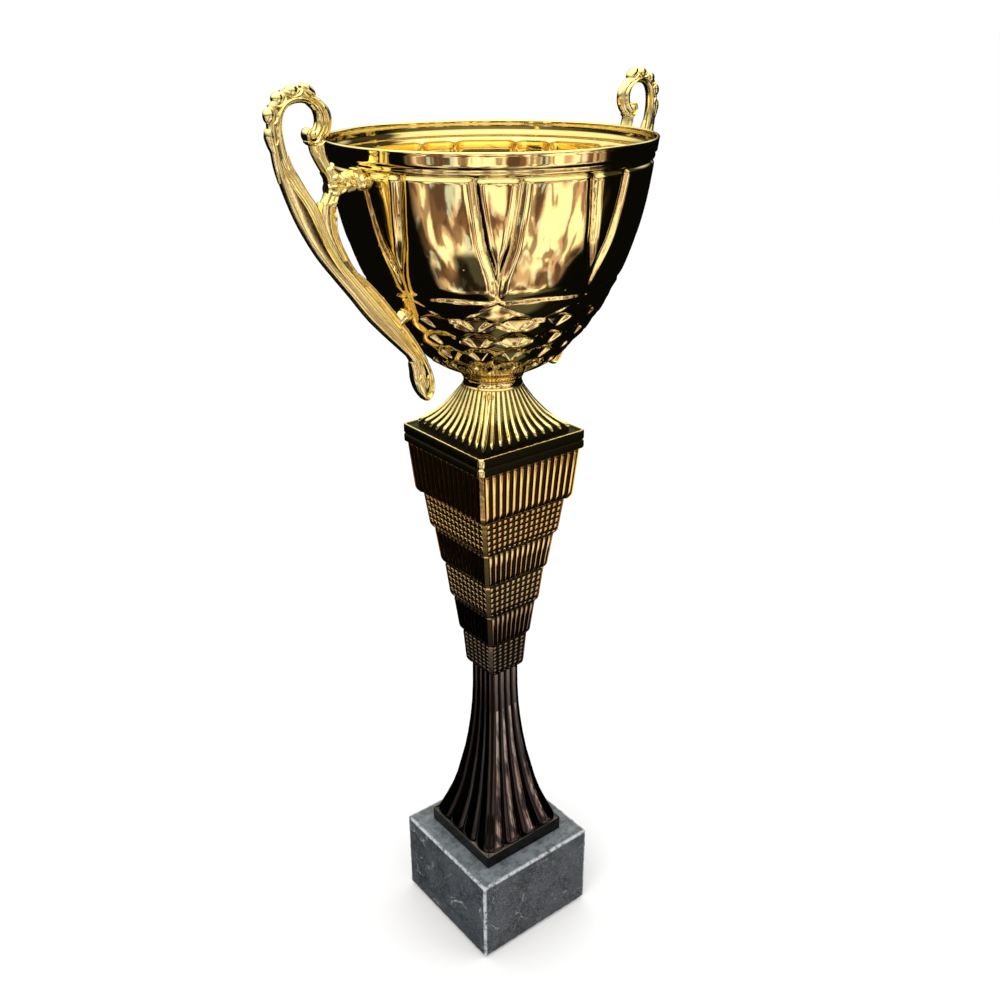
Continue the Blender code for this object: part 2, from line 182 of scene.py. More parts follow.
CUP_PROFILE = [
    (361, 16.6), (362.4, 17.6), (364, 19.9), (366, 24.0), (368, 28.0), (370.5, 32.0), (373, 35.4),
    (380, 41.4),
    (388, 48.6), (396, 54.2), (405, 60.0), (415, 64.6), (425, 68.6), (437, 72.6), (450, 75.7), (462, 77.7),
    (472, 79.0), (480, 80.0),
]
CUP_COLUMNS = 504
WEDGE_AZIMUTH = -125.5  # degrees round Z from +X
WEDGE_PERIOD = 40.0
RELIEF_SPREAD = 0.17
RIM_BEAD = 0.85
ROD_HOLE = 3.9
PANEL_TOP = 469.6
PANEL_BOTTOM = 413.6
CREASES = (402.3, 392.3, 383.2, 373.7)
DIAMONDS = (397.2, 387.8, 378.5)


def inside_distance(side, end, radius):
    """How far a point lies inside a rectangle with rounded corners, given its distance from the
    nearest side and the nearest end."""
    corner = radius - np.hypot(np.maximum(radius - side, 0), np.maximum(radius - end, 0))
    return np.where((side < radius) & (end < radius), corner, np.minimum(side, end))


def cup_relief(azimuth, height, radius):
    """Height of the pressed pattern over the cup's crest surface, from azimuth in degrees and
    height and radius in millimetres. Nine tongues, narrowing downward, split the wall into nine
    crowned panels. Panel and tongue both fall to their border as 1 less the sine of the distance
    inside it. Under them come a row of triangles tilted out at their foot, and a lattice of
    diamonds, notched in one column and raised in the next."""
    a = np.abs((azimuth - WEDGE_AZIMUTH + WEDGE_PERIOD / 2) % WEDGE_PERIOD - WEDGE_PERIOD / 2)
    arc = radians(1) * radius
    half = np.interp(height, [412, 424, 439, 460, 470], [0.0, 0.9, 4.7, 7.0, 7.7])
    # crowned panels: they fall 1.9 mm to their borders over a 4 mm roll
    side = (a - half) * arc
    end = np.minimum(1.9 * (PANEL_TOP - height), height - PANEL_BOTTOM - 0.05 * a)
    panel = inside_distance(side, end, 3.6)
    sunk = np.interp(height, [PANEL_BOTTOM, 420, 434], [0.75, 1.1, 1.9])
    pillow = -sunk * (1 - np.sin(np.clip(panel / 4.2, 0, 1) * pi / 2))
    # tongues with rounded top corners, rolled to the same borders
    tongue = inside_distance(-side, 1.9 * (PANEL_TOP - height), 6.5)
    upper = np.where(side > 0, pillow, -sunk * (1 - np.sin(np.clip(tongue / 4.6, 0, 1) * pi / 2)))
    # row of triangles and the plain ones between them
    drop = PANEL_BOTTOM - 1.1 - height
    reach = 17.6 * drop / 10.2
    edge = (reach - a) * arc
    slab = np.interp(height, [402.3, 412.5], [-0.1, -1.1])
    between = np.interp(height, [402.3, 412.5], [-1.4, -0.1])
    row = between + (slab - between) * smooth(edge / 0.9
                                              + 0.5) - 0.4 * np.exp(-(edge / 0.55) ** 2) * (drop > 0)
    # lattice of notched and raised diamonds
    lattice = np.zeros_like(a)
    b = np.abs(a - 10)
    for crease in CREASES:
        rise = height - crease
        extent = np.where(rise > 0, 4.3, 5.0)
        inner = 1 - b / 8.6 - np.abs(rise) / extent
        notch = 1.75 * np.minimum(1 - np.abs(rise) / extent, inner / 0.33)
        lattice = np.where(inner > 0, -notch, lattice)
    c = np.minimum(a, 20 - a)
    for centre in DIAMONDS:
        inner = 1 - c / 8.8 - np.abs(height - centre) / 4.4
        lattice = np.where(inner > 0, 0.45 * np.minimum(inner / 0.35, 1), lattice)
    below = lattice * smooth((height - 367.5) / 2)
    below = np.where(height > CREASES[0], np.minimum(row, np.where(lattice < 0, lattice, 0.0)), below)
    body = np.where(height > PANEL_BOTTOM - 1.1 + 0.05 * a, upper, below)
    rim = 0.55 * smooth((height - 472.9) / 0.9) - 0.55 * np.exp(-((height - 472.4) / 0.55) ** 2)
    step = -1.9 + 1.9 * smooth((height - PANEL_TOP) / 0.7)
    band = np.where(height > PANEL_TOP + 0.7, rim, step)
    return np.where(height > PANEL_TOP, band, body)


def softened_relief(azimuth, height, radius, spread):
    """The relief averaged over nine points a short way round, so that slanting folds run clean."""
    total = 0.0
    for i in (-1, 0, 1):
        for j in (-1, 0, 1):
            turn = i * spread / (radians(1) * radius)
            total = total + cup_relief(azimuth + turn, height + j * spread, radius)
    return total / 9


def wall_radius(heights):
    """Radius of the crest surface at a height, on a smooth curve through the profile's points."""
    z, r = curve_through(CUP_PROFILE, 500).T
    return np.interp(heights, z, r)


def wall_slope(heights):
    """How far the wall's outward normal points below the horizontal, in radians."""
    low, high = np.maximum(heights - 1.2, CUP_PROFILE[0][0]), np.minimum(heights + 1.2, CUP_PROFILE[-1][0])
    return np.arctan2(wall_radius(high) - wall_radius(low), high - low)


def cup_surface(columns, heights, offset):
    """Rings of the wall at an offset along its normal: radius(z) from the profile, plus the relief."""
    radius = wall_radius(heights)
    slope = wall_slope(heights)[:, None]
    angle = 2 * pi * np.arange(columns) / columns
    relief = softened_relief(np.degrees(angle)[None, :], heights[:, None], radius[:, None], RELIEF_SPREAD)
    lift = relief + offset
    reach = radius[:, None] + lift * np.cos(slope)
    rise = heights[:, None] - lift * np.sin(slope)
    return np.stack([reach * np.cos(angle), reach * np.sin(angle), rise], -1), relief


def build_cup(settings):
    """One closed sheet: up the outside, over half a circle at the rim, down the inside one sheet
    thickness in, and across the floor to the rod's hole. Both faces are the profile's radius plus
    the relief, laid along the wall's normal."""
    columns = CUP_COLUMNS
    sheet = settings.cup_sheet / MM
    outer_heights = np.concatenate([
        np.arange(361, 367, 1.5), np.arange(367, 416, 0.6), np.arange(416, 466, 1.9),
        np.arange(466, 479.2, 0.7),
    ])
    outer, relief = cup_surface(columns, outer_heights, 0.0)
    angle = 2 * pi * np.arange(columns) / columns
    # the rolled edge: half a circle over the wall's top
    turn = np.linspace(0, pi, 7)
    bead_reach = 79.75 + RIM_BEAD * np.cos(turn)[:, None] + 0 * angle
    bead_rise = 479.15 + RIM_BEAD * np.sin(turn)[:, None] + 0 * angle
    bead = np.stack([bead_reach * np.cos(angle), bead_reach * np.sin(angle), bead_rise], -1)
    inner_heights = np.concatenate([
        np.arange(477.6, 468.5, -1.2), np.arange(468, 416, -3.4), np.arange(416, 372, -1.9),
        [369, 366.5, 364.6],
    ])
    inner, _ = cup_surface(columns, inner_heights, -sheet)
    floor = turned_rings([(14.0, 362.1), (ROD_HOLE, 362.1)], columns)
    under = turned_rings([(ROD_HOLE, 360.4), (16.2, 360.4)], columns)
    rings = np.concatenate([under, outer, bead, inner, floor])
    # how deep each point of the outside lies in the relief, which the gold plate paints darker as shade
    dips = np.concatenate([np.zeros((2, columns)), -relief / 2.2,
                           np.zeros((len(rings) - 2 - len(outer), columns))])
    return make_piece("cup_wall", [ring_shell(rings)], gold_plate(), ["cup_bowl"], dips.ravel())


# ---------------------------------------------------------------- the stem

TIERS = [  # bottom, top, half width at the bottom and top, columns a face, studs up it or 0 for ribs
    (180, 202, 12.6, 14.0, 6, 8), (202, 224, 15.2, 17.4, 9, 0), (224, 246, 18.7, 20.8, 10, 6),
    (246, 268, 22.0, 24.5, 12, 0), (268, 290, 26.0, 28.5, 14, 6), (290, 320, 31.5, 34.0, 14, 0),
]
STRIP = 1.6  # the smooth band cut across each corner
TIER_GAP = 0.02
TIER_LIP = 0.35
TIER_UNDERCUT = 1.9
UNDERCUT_RISE = 4.0
RIB_DEPTH = 0.85
STUD_DEPTH = 0.95
FOOT_REEDS = 4
FLARE = [(65.4, 29.3), (69, 28.1), (76.5, 25.2), (87, 21.6), (96, 19.3), (106, 17.4), (117, 15.3),
         (129, 13.6),
         (141, 12.3), (153, 11.4), (165, 10.95), (180, 10.8)]


def square_ring(face, lift, half, strip):
    """Points round a square with cut corners, as (rows, columns, 3) less the height. face runs -1
    to 1 along each side between the cut corners, lift is added square to the side, and half and
    strip hold the square's half width and its corner cut, row by row."""
    near = (half - strip)[:, None]
    return four_sides(half[:, None] + lift, near * face[None, :] + 0 * lift)


def rib_steps(count, places, heights):
    """Positions -1 to 1 along a side, and the height there, of count ribs of one outline."""
    places, heights = np.array(places), np.array(heights)
    face = (np.arange(count)[:, None] + places[None, :]) / count
    face = np.concatenate([[-1.0], face.ravel() * 2 - 1, [1.0]])
    return face, np.concatenate([[0.5], np.tile(heights, count), [0.5]])


def build_tiers():
    """Six blocks, wider at the top, each pulled in at its foot by the undercut times a squared
    fall. A ribbed face repeats one rib's outline along the side. A studded one takes the lesser
    of that outline along the side and the same outline up it."""
    rib = ((0.05, 0.2, 0.235, 0.28, 0.5, 0.72, 0.765, 0.8), (0.0, 0.0, 0.94, 1.0, 1.0, 1.0, 0.94, 0.0))
    stud = ((0.03, 0.13, 0.2, 0.32, 0.5, 0.68, 0.8, 0.87), (0.0, 0.0, 0.62, 0.93, 1.0, 0.93, 0.62, 0.0))
    shells, recess = [], []
    for bottom, top, low, high, count, studs in TIERS:
        face, column = rib_steps(count, *(stud if studs else rib))
        if studs:
            rise, row = rib_steps(studs, *stud)
            rise = (rise[1:-1] + 1) / 2
            row = row[1:-1]
            inner = np.minimum(column[None, :], row[:, None])
            inner = inner * (0.8 + 0.2 * np.minimum(1, inner + 0.4))
        else:
            rise = np.array([0.0, 0.02, 0.05, 0.09, 0.14, 0.19, 0.6, 0.94, 0.97, 1.0])
            inner = column[None, :] * np.array([0, 0.75, 1, 1, 1, 1, 1, 1, 0.8, 0.1])[:, None]
        lip = TIER_LIP / (top - bottom)
        rise = np.concatenate([[0.0], lip + rise * (1 - 2 * lip), [1.0]])
        inner = np.concatenate([inner[:1], inner, inner[-1:]])
        lift = (inner - 1) * (STUD_DEPTH if studs else RIB_DEPTH)
        lift[:, [0, -1]] = 0.05
        half = low + (high - low) * rise
        foot = np.clip(1 - rise * (top - bottom) / UNDERCUT_RISE, 0, 1)
        pull = TIER_UNDERCUT * foot ** 2 + np.where(np.arange(len(rise)) == len(rise) - 1, 0.2, 0)
        flat = square_ring(face, lift, half - pull, np.full(len(rise), STRIP))
        height = bottom + TIER_GAP + (top - bottom - 2 * TIER_GAP) * rise
        shells.append(tube_shell(raised(flat, height)))
        inner[:, [0, -1]] = 1
        depths = np.tile(1 - inner, (1, 4))
        recess.append(np.concatenate([depths.ravel(), [1.0, 1.0]]))
    return make_piece("stem_tier_stack", shells, ombre_metal(), ["stem_tiers"],
                      np.concatenate(recess), crease=38)


def build_foot():
    """The plinth is a sharp block. Above it each side has the flare's half width and carries four
    reeds: between two grooves the lift is a flattened ellipse arch, 0.15 mm plus 0.26 of the pitch
    deep, closed over at the foot."""
    z, h = np.array(FLARE, float).T
    rise = np.concatenate([[66.02, 66.3, 66.8, 67.6, 68.6, 69.9], np.linspace(71.2, 179.8, 58)])
    half = np.interp(rise, z, h)
    strip = np.interp(rise, [66, 100, 180], [2.3, 2.1, 1.9])
    across = np.linspace(0, 1, 13)[:-1]
    arch = np.sqrt(np.clip(1 - (2 * across - 1) ** 2, 0, 1)) ** 0.8
    face, column = rib_steps(FOOT_REEDS, across, arch)
    face = np.concatenate([face[1:-1], [1.0]])
    column = np.concatenate([column[1:-1], [0.0]])
    pitch = (half - strip) * 2 / FOOT_REEDS
    close = np.sqrt(np.clip(1 - ((69.2 - rise) / 3.2).clip(0, 1) ** 2, 0, 1))
    depth = 0.26 * pitch + 0.15
    lift = depth[:, None] * (column[None, :] - 1) + (close - 1)[:, None] * 1.3 * (1.5 - column[None, :])
    rings = raised(square_ring(face, lift, half, strip), rise)
    dips = np.tile(1 - np.sqrt(column), 4)[None, :] * np.ones((len(rise), 1))
    dips = np.maximum(dips * 0.9, (1 - close)[:, None] * 0.8)
    plinth_face = np.array([-1.0, 0.0, 1.0])
    plinth_half = np.array([28.7, 29.2, 29.2, 28.75])
    level = np.array([57.3, 57.75, 65.55, 66.0])
    plinth = raised(square_ring(plinth_face, np.zeros((4, 3)), plinth_half, np.full(4, 0.7)), level)
    recess = np.concatenate([dips.ravel(), [1, 1], np.zeros(plinth.shape[0] * plinth.shape[1] + 2)])
    return make_piece("stem_reeded_foot", [tube_shell(rings), tube_shell(plinth)], ombre_metal(),
                      ["stem_foot"], recess, crease=38)


# ---------------------------------------------------------------- the collar and neck

COLLAR_RIBS = 10  # a side
RIB_STEPS = 12
FLARE_RISE = [  # height, the square's share of the outline
    (330.0, 1.0), (333.6, 0.92), (337, 0.68), (340.7, 0.49), (344.3, 0.356), (347.9, 0.224),
              (351.4, 0.116), (355, 0.0)]


def rounded_square(half, radius, count):
    """Rings round squares with rounded corners, row by row: each corner is a quarter circle."""
    turn = np.linspace(0, pi / 2, count)
    near = (half - radius)[:, None]
    x = near + radius[:, None] * np.cos(turn)
    y = near + radius[:, None] * np.sin(turn)
    return four_sides(x, y)


def build_collar():
    """A lipped flange, and a flare whose outline is a blend of a circle and a square. The square's
    share falls from 1 to 0 with height. Ribs stand on it as half ellipses across, and round off to
    nothing at their foot."""
    edge = np.array([
        (30.0, 320.35), (34.9, 320.35), (35.4, 320.8), (35.5, 321.4), (35.5, 324.0), (35.2, 324.6),
        (34.8, 324.9),
        (34.8, 325.2), (35.2, 325.5), (35.5, 326.1), (35.5, 329.3), (35.3, 330.1), (34.9, 330.55),
        (34.4, 330.6),
        (34.0, 330.35), (33.7, 329.9), (33.5, 329.75), (28.0, 329.75),
    ])
    half, level = edge.T
    corner = np.clip(half - 32.6, 0.3, 2.8)
    flange = raised(rounded_square(half, corner, 9), level)
    z, f = np.array(FLARE_RISE, float).T
    rise = np.concatenate([[329.3], np.linspace(329.8, 335, 12), np.linspace(335.7, 355, 24)])
    width = np.interp(rise, z, f)
    width = np.convolve(np.pad(width, 2, mode="edge"), [0.1, 0.2, 0.4, 0.2, 0.1], "valid")[:len(rise)]
    columns = COLLAR_RIBS * RIB_STEPS
    s = (np.arange(columns) / columns) * 2 - 1
    phase = np.abs(((s * COLLAR_RIBS / 2) + 0.5) % 1 - 0.5)
    grow = np.clip((rise - 330.6) / 3.4, 0, 1)[:, None]
    broad = (0.28 + 0.05 * (1 - width[:, None])) * np.sqrt(grow) * (1 + 0.5 * (np.abs(s) > 0.9))
    rib = np.sqrt(np.clip(1 - (phase[None, :] / np.maximum(broad, 0.01)) ** 2, 0, 1)) * np.minimum(1,
                                                                                                   grow * 3)
    tall = 0.25 + 0.75 * width ** 0.5
    rings = []
    for k in range(4):
        square = np.stack([np.ones_like(s), s], -1)
        angle = s * pi / 4
        circle = np.stack([np.cos(angle), np.sin(angle)], -1)
        share = width[:, None, None]
        flat = 15.6 * (1 - share) * circle + 29.0 * share * square + rib[..., None] * tall[:, None,
                                                                                           None] * circle
        c, n = (1, 0, -1, 0)[k], (0, 1, 0, -1)[k]
        rings.append(np.stack([flat[..., 0] * c - flat[..., 1] * n, flat[..., 0] * n + flat[..., 1] * c], -1))
    flat = np.concatenate(rings, 1)
    lifted = rise[:, None] + np.tile(rib * tall[:, None] * 0.7 * width[:, None], (1, 4))
    flare = np.concatenate([flat, lifted[..., None]], -1)
    dips = (1 - np.tile(rib, (1, 4))) * (0.5 + 0.5 * smooth((344 - rise) / 11))[:, None]
    # painted reflection: the flange's sides, all but their corners, get full recess so that the patina colour
    # paints them near black as a dark reflection; the flat border inside the lip gets the real patina
    corner_gold = np.minimum(np.abs(flange[..., 0]), np.abs(flange[..., 1])) > 33.2
    flange_side_dark_reflection = ((level > 320.6) & (level < 330.2))[:, None] & (half > 33.65)[:, None] & ~corner_gold
    ground = np.where(flange_side_dark_reflection, 1.0, np.where((level < 329.95) & (half < 33.75), 0.8, 0.1)[:, None])
    recess = np.concatenate([ground.ravel(), [1, 1], dips.ravel(), [0, 0]])
    return make_piece("collar_ribbed", [tube_shell(flange), tube_shell(flare)], collar_gold(),
                      ["collar"], recess, crease=42)


def build_neck():
    """A grooved ring, one (radius, height) profile turned round the rod."""
    profile = [(4.1, 355.0), (15.7, 355.0), (15.9, 355.2), (16.0, 355.6), (15.75, 356.1), (15.5, 356.8),
               (15.5, 358.2), (15.7, 359.2), (16.1, 359.8), (16.1, 360.0), (4.1, 360.0)]
    return make_piece("neck_collar_ring", [ring_shell(turned_rings(profile, 96))], gold_plate(),
                      ["neck_ring"], crease=40)


# ---------------------------------------------------------------- the base

STONE_FOOT = 1.8
STONE_STEPS = 72


def build_base(settings):
    """A block whose six faces are grids pushed out to a rounded box: each point keeps its place on
    the inner box and stands one edge radius off it, with the edges worn by a slow sine chatter."""
    n = STONE_STEPS
    t = np.linspace(-1, 1, n)
    warp = np.sign(t) * (1 - (1 - np.abs(t)) ** 1.5)
    low, high = STONE_FOOT, settings.stone_top / MM
    side = settings.stone_width / MM / 2
    half = np.array([side, side, (high - low) / 2])
    middle = np.array([0, 0, (high + low) / 2])
    u, v = np.meshgrid(warp, warp, indexing="ij")
    shells = []
    for axis in range(3):
        for sign in (-1, 1):
            cube = np.zeros((n, n, 3))
            cube[..., axis] = sign
            cube[..., (axis + 1) % 3] = u if sign > 0 else v
            cube[..., (axis + 2) % 3] = v if sign > 0 else u
            shells.append(cube.reshape(-1, 3))
    points = np.concatenate(shells) * half
    along = points + middle
    chatter = np.sin(along[:, 0] * 0.83 + along[:, 2] * 0.31) * np.sin(along[:, 1] * 0.71 - along[:, 2]
                                                                       * 0.57)
    chatter = chatter + 0.6 * np.sin(along @ np.array([2.3, 1.9, 2.7])) * np.sin(along @ np.array([1.3, -2.1,
                                                                                                   1.7]))
    radius = (1.25 + 0.28 * chatter)[:, None]
    core = np.clip(points, -(half - radius), half - radius)
    away = points - core
    length = np.linalg.norm(away, axis=1, keepdims=True)
    points = np.where(length > radius, core + away * radius / np.maximum(length, 1e-6), points) + middle
    quads = np.concatenate([grid_faces(n, n, loop_columns=False)[:, ::-1] + i * n * n for i in range(6)])
    piece = make_piece("marble_block", [(points, quads, np.zeros((0, 3), int))], marble(),
                       ["marble_base"])
    weld(piece)
    return piece


def weld(piece):
    """Merges points that lie on each other, so that the seams between grids close."""
    bm = bmesh.new()
    bm.from_mesh(piece.data)
    bmesh.ops.remove_doubles(bm, verts=bm.verts, dist=WELD_DISTANCE)
    bmesh.ops.recalc_face_normals(bm, faces=bm.faces)
    bm.to_mesh(piece.data)
    bm.free()


# ---------------------------------------------------------------- the handles
# Points are (distance from the cup's axis, height) in the handle's own upright plane.

ARM_OUTSIDE = [(46.6, 356.2), (49.6, 359.6), (51.9, 364.1), (53.2, 369.4), (53.4, 374.3), (55.4, 379.5),
               (61.6, 385.8),
               (70.6, 394.7), (79.2, 403.9), (87.3, 414.5), (95.3, 424.5), (103.5, 435.2), (110.2, 446.6),
               (114.6, 456.0), (118.2, 466.5), (120.2, 474.3), (120.8, 480.0)]
ARM_RIM_INSIDE = [(47.4, 359.6), (49.4, 363.2), (50.8, 367.8), (51.2, 372.4), (51.8, 376.6), (56.1, 383.0),
                  (65.6, 393.6),
                  (75.2, 403.9), (84.6, 414.7), (93.4, 425.4), (101.4, 436.0), (107.8, 446.4), (112.0, 455.8),
                  (115.7, 464.6), (117.9, 472.3), (118.6, 479.0)]
RIBBON_OUTSIDE = [(48.6, 366.0), (49.2, 371.0), (50.4, 376.4), (55.0, 383.6), (64.0, 394.2), (73.8, 405.2),
                  (83.2, 416.6),
                  (91.6, 427.4), (97.6, 437.2), (101.8, 446.2), (104.8, 452.6), (108.6, 459.4),
                  (113.4, 466.0),
                  (117.4, 472.8), (118.8, 477.0)]
RIBBON_INSIDE = [(46.0, 368.0), (46.9, 373.2), (50.0, 379.6), (56.9, 390.0), (68.0, 404.6), (80.6, 420.0),
                 (89.8, 430.8),
                 (95.4, 440.2), (98.9, 448.2), (100.8, 454.2), (102.8, 458.6), (106.2, 463.6), (109.8, 469.8),
                 (112.4, 474.6), (114.0, 479.4)]
ARM_INSIDE = [(42.4, 357.8), (40.9, 362.3), (41.7, 368.4), (44.3, 375.2), (48.0, 381.9), (53.6, 390.4),
              (60.8, 400.1),
              (70.2, 412.1), (78.6, 421.2), (86.2, 427.4), (92.4, 434.4), (96.8, 441.8), (99.6, 449.4),
              (101.2, 456.2),
              (104.0, 460.8), (109.8, 469.8), (112.6, 475.4)]
WEB_INSIDE = [(76.0, 419.0), (82.2, 424.3), (86.2, 429.7), (89.5, 435.9), (91.5, 440.6), (92.7, 445.1),
              (93.1, 449.4),
              (92.3, 453.6), (91.2, 458.4)]
WEB_OUTSIDE = [(79.4, 418.8), (85.6, 424.6), (90.8, 430.2), (94.8, 436.2), (98.2, 442.6), (100.3, 449.0),
               (100.6, 453.6),
               (99.8, 458.6)]
LOOP_OUTSIDE = [(119.2, 468.0), (120.8, 474.6), (121.6, 481.0), (122.2, 486.6), (122.2, 491.4),
                (121.4, 495.6),
                (120.0, 499.0), (117.2, 502.0), (113.8, 504.0), (109.4, 504.9), (105.2, 504.5),
                (101.2, 503.0),
                (97.8, 501.0), (94.4, 498.5), (92.0, 495.6), (91.2, 492.2), (91.6, 488.9), (93.2, 485.8),
                (96.2, 483.0)]
LOOP_INSIDE = [(111.8, 473.4), (113.8, 478.5), (115.0, 482.8), (115.6, 487.6), (115.4, 491.9), (114.1, 495.5),
               (111.2, 498.0), (106.9, 498.9), (102.7, 498.2), (99.9, 495.4), (99.2, 492.1), (99.8, 489.4),
               (101.4, 487.2),
               (102.8, 485.8)]
STRAP_OUTSIDE = [(95.9, 484.2), (95.5, 480.5), (94.4, 476.7), (92.2, 473.1), (89.2, 470.4), (86.4, 469.2)]
STRAP_INSIDE = [(103.6, 483.6), (102.6, 478.8), (99.9, 473.6), (97.2, 469.2), (95.4, 464.9), (95.2, 461.4)]


def strip(outside, inside, section, count=64, thin=(1.0, 1.0)):
    """A cast bar between two edge lines. section lists (place across from the outer edge to the
    inner, half thickness), and the back mirrors the front. thin scales the two ends' thickness.
    Gives the shell, and how deep each point lies below the bar's highest ridge."""
    a, b = curve_through(outside, count), curve_through(inside, count)
    across, thick = np.array(section, float).T
    t = np.linspace(0, 1, count)
    scale = np.interp(t, [0, 0.06, 0.94, 1], [thin[0], 1, 1, thin[1]])
    flat = a[:, None] + (b - a)[:, None] * across[None, :, None]
    depth = thick[None, :] * scale[:, None]
    front = np.concatenate([flat, depth[..., None]], -1)
    rings = np.concatenate([front, front[:, ::-1] * (1, 1, -1)], 1)
    inner = (across > 0.05) & (across < 0.95)
    dip = np.where(inner, np.clip((thick.max() - thick) / 0.9, 0, 1), 0.0) * np.ones((count, 1))
    return tube_shell(rings), np.concatenate([np.concatenate([dip, dip[:, ::-1]], 1).ravel(), [0, 0]])


def rail(points, radius, deep, count=40, sides=12):
    """A wire of oval section along a flat curve: radius in the plane and deep through it, each one
    number or a list spread evenly along the wire."""
    p = curve_through(points, count)
    run = np.gradient(p, axis=0)
    normal = np.stack([-run[:, 1], run[:, 0]], -1) / np.linalg.norm(run, axis=1)[:, None]
    t = np.linspace(0, 1, count)
    wide = np.interp(t, np.linspace(0, 1, np.size(radius)), np.atleast_1d(radius))
    tall = np.interp(t, np.linspace(0, 1, np.size(deep)), np.atleast_1d(deep))
    round_ends = np.sqrt(np.clip(1 - (1 - np.minimum(np.minimum(t, 1 - t) * count / 3, 1)) ** 2, 0.02, 1))
    turn = 2 * pi * np.arange(sides) / sides
    flat = p[:, None] + normal[:, None] * (wide * round_ends)[:, None, None] * np.cos(turn)[None, :, None]
    rings = np.concatenate([flat, (tall[:, None] * np.sin(turn) * (0.6 + 0.4 * round_ends)[:, None])[...,
                                                                                                     None]],
                                                                                                     -1)
    return tube_shell(rings), np.zeros(count * sides + 2)


def bead(centre, wide, high, deep, turn=0.0, rows=13, sides=22):
    """An oval bead: half widths wide and high in the plane, turned by turn degrees, deep through it."""
    lift = np.linspace(0.04, pi - 0.04, rows)
    angle = 2 * pi * np.arange(sides) / sides
    u = wide * np.outer(np.sin(lift), np.cos(angle))
    v = high * np.outer(np.sin(lift), np.sin(angle))
    c, s = cos(radians(turn)), sin(radians(turn))
    y = deep * np.outer(np.cos(lift), np.ones(sides))
    rings = np.stack([centre[0] + u * c - v * s, centre[1] + u * s + v * c, y], -1)
    return tube_shell(rings), np.zeros(rows * sides + 2)


def arc(centre, wide, high, start, end, turn=0.0, count=9):
    """Points of an oval arc from start to end degrees."""
    angle = np.radians(np.linspace(start, end, count))
    c, s = cos(radians(turn)), sin(radians(turn))
    u, v = wide * np.cos(angle), high * np.sin(angle)
    return np.stack([centre[0] + u * c - v * s, centre[1] + u * s + v * c], -1)


def boss(height, radius, reach):
    """A round boss from the cup's wall outward along the wall's normal, flared at its foot."""
    wall, slope = float(wall_radius(height)), float(wall_slope(height))
    out = np.array([cos(slope), -sin(slope), 0])
    up = np.array([sin(slope), cos(slope), 0])
    along = np.array([-1.6, 0.0, 0.5, 1.2, 2.4, reach - 0.6, reach])
    size = np.array([1.16, 1.16, 1.12, 1.03, 1.0, 1.0, 0.85]) * radius
    angle = 2 * pi * np.arange(28) / 28
    ring = np.outer(np.cos(angle), up) + np.outer(np.sin(angle), [0, 0, 1])
    rings = np.array([wall, height, 0]) + along[:, None, None] * out + size[:, None, None] * ring
    return tube_shell(rings), np.zeros(len(along) * 28 + 2)


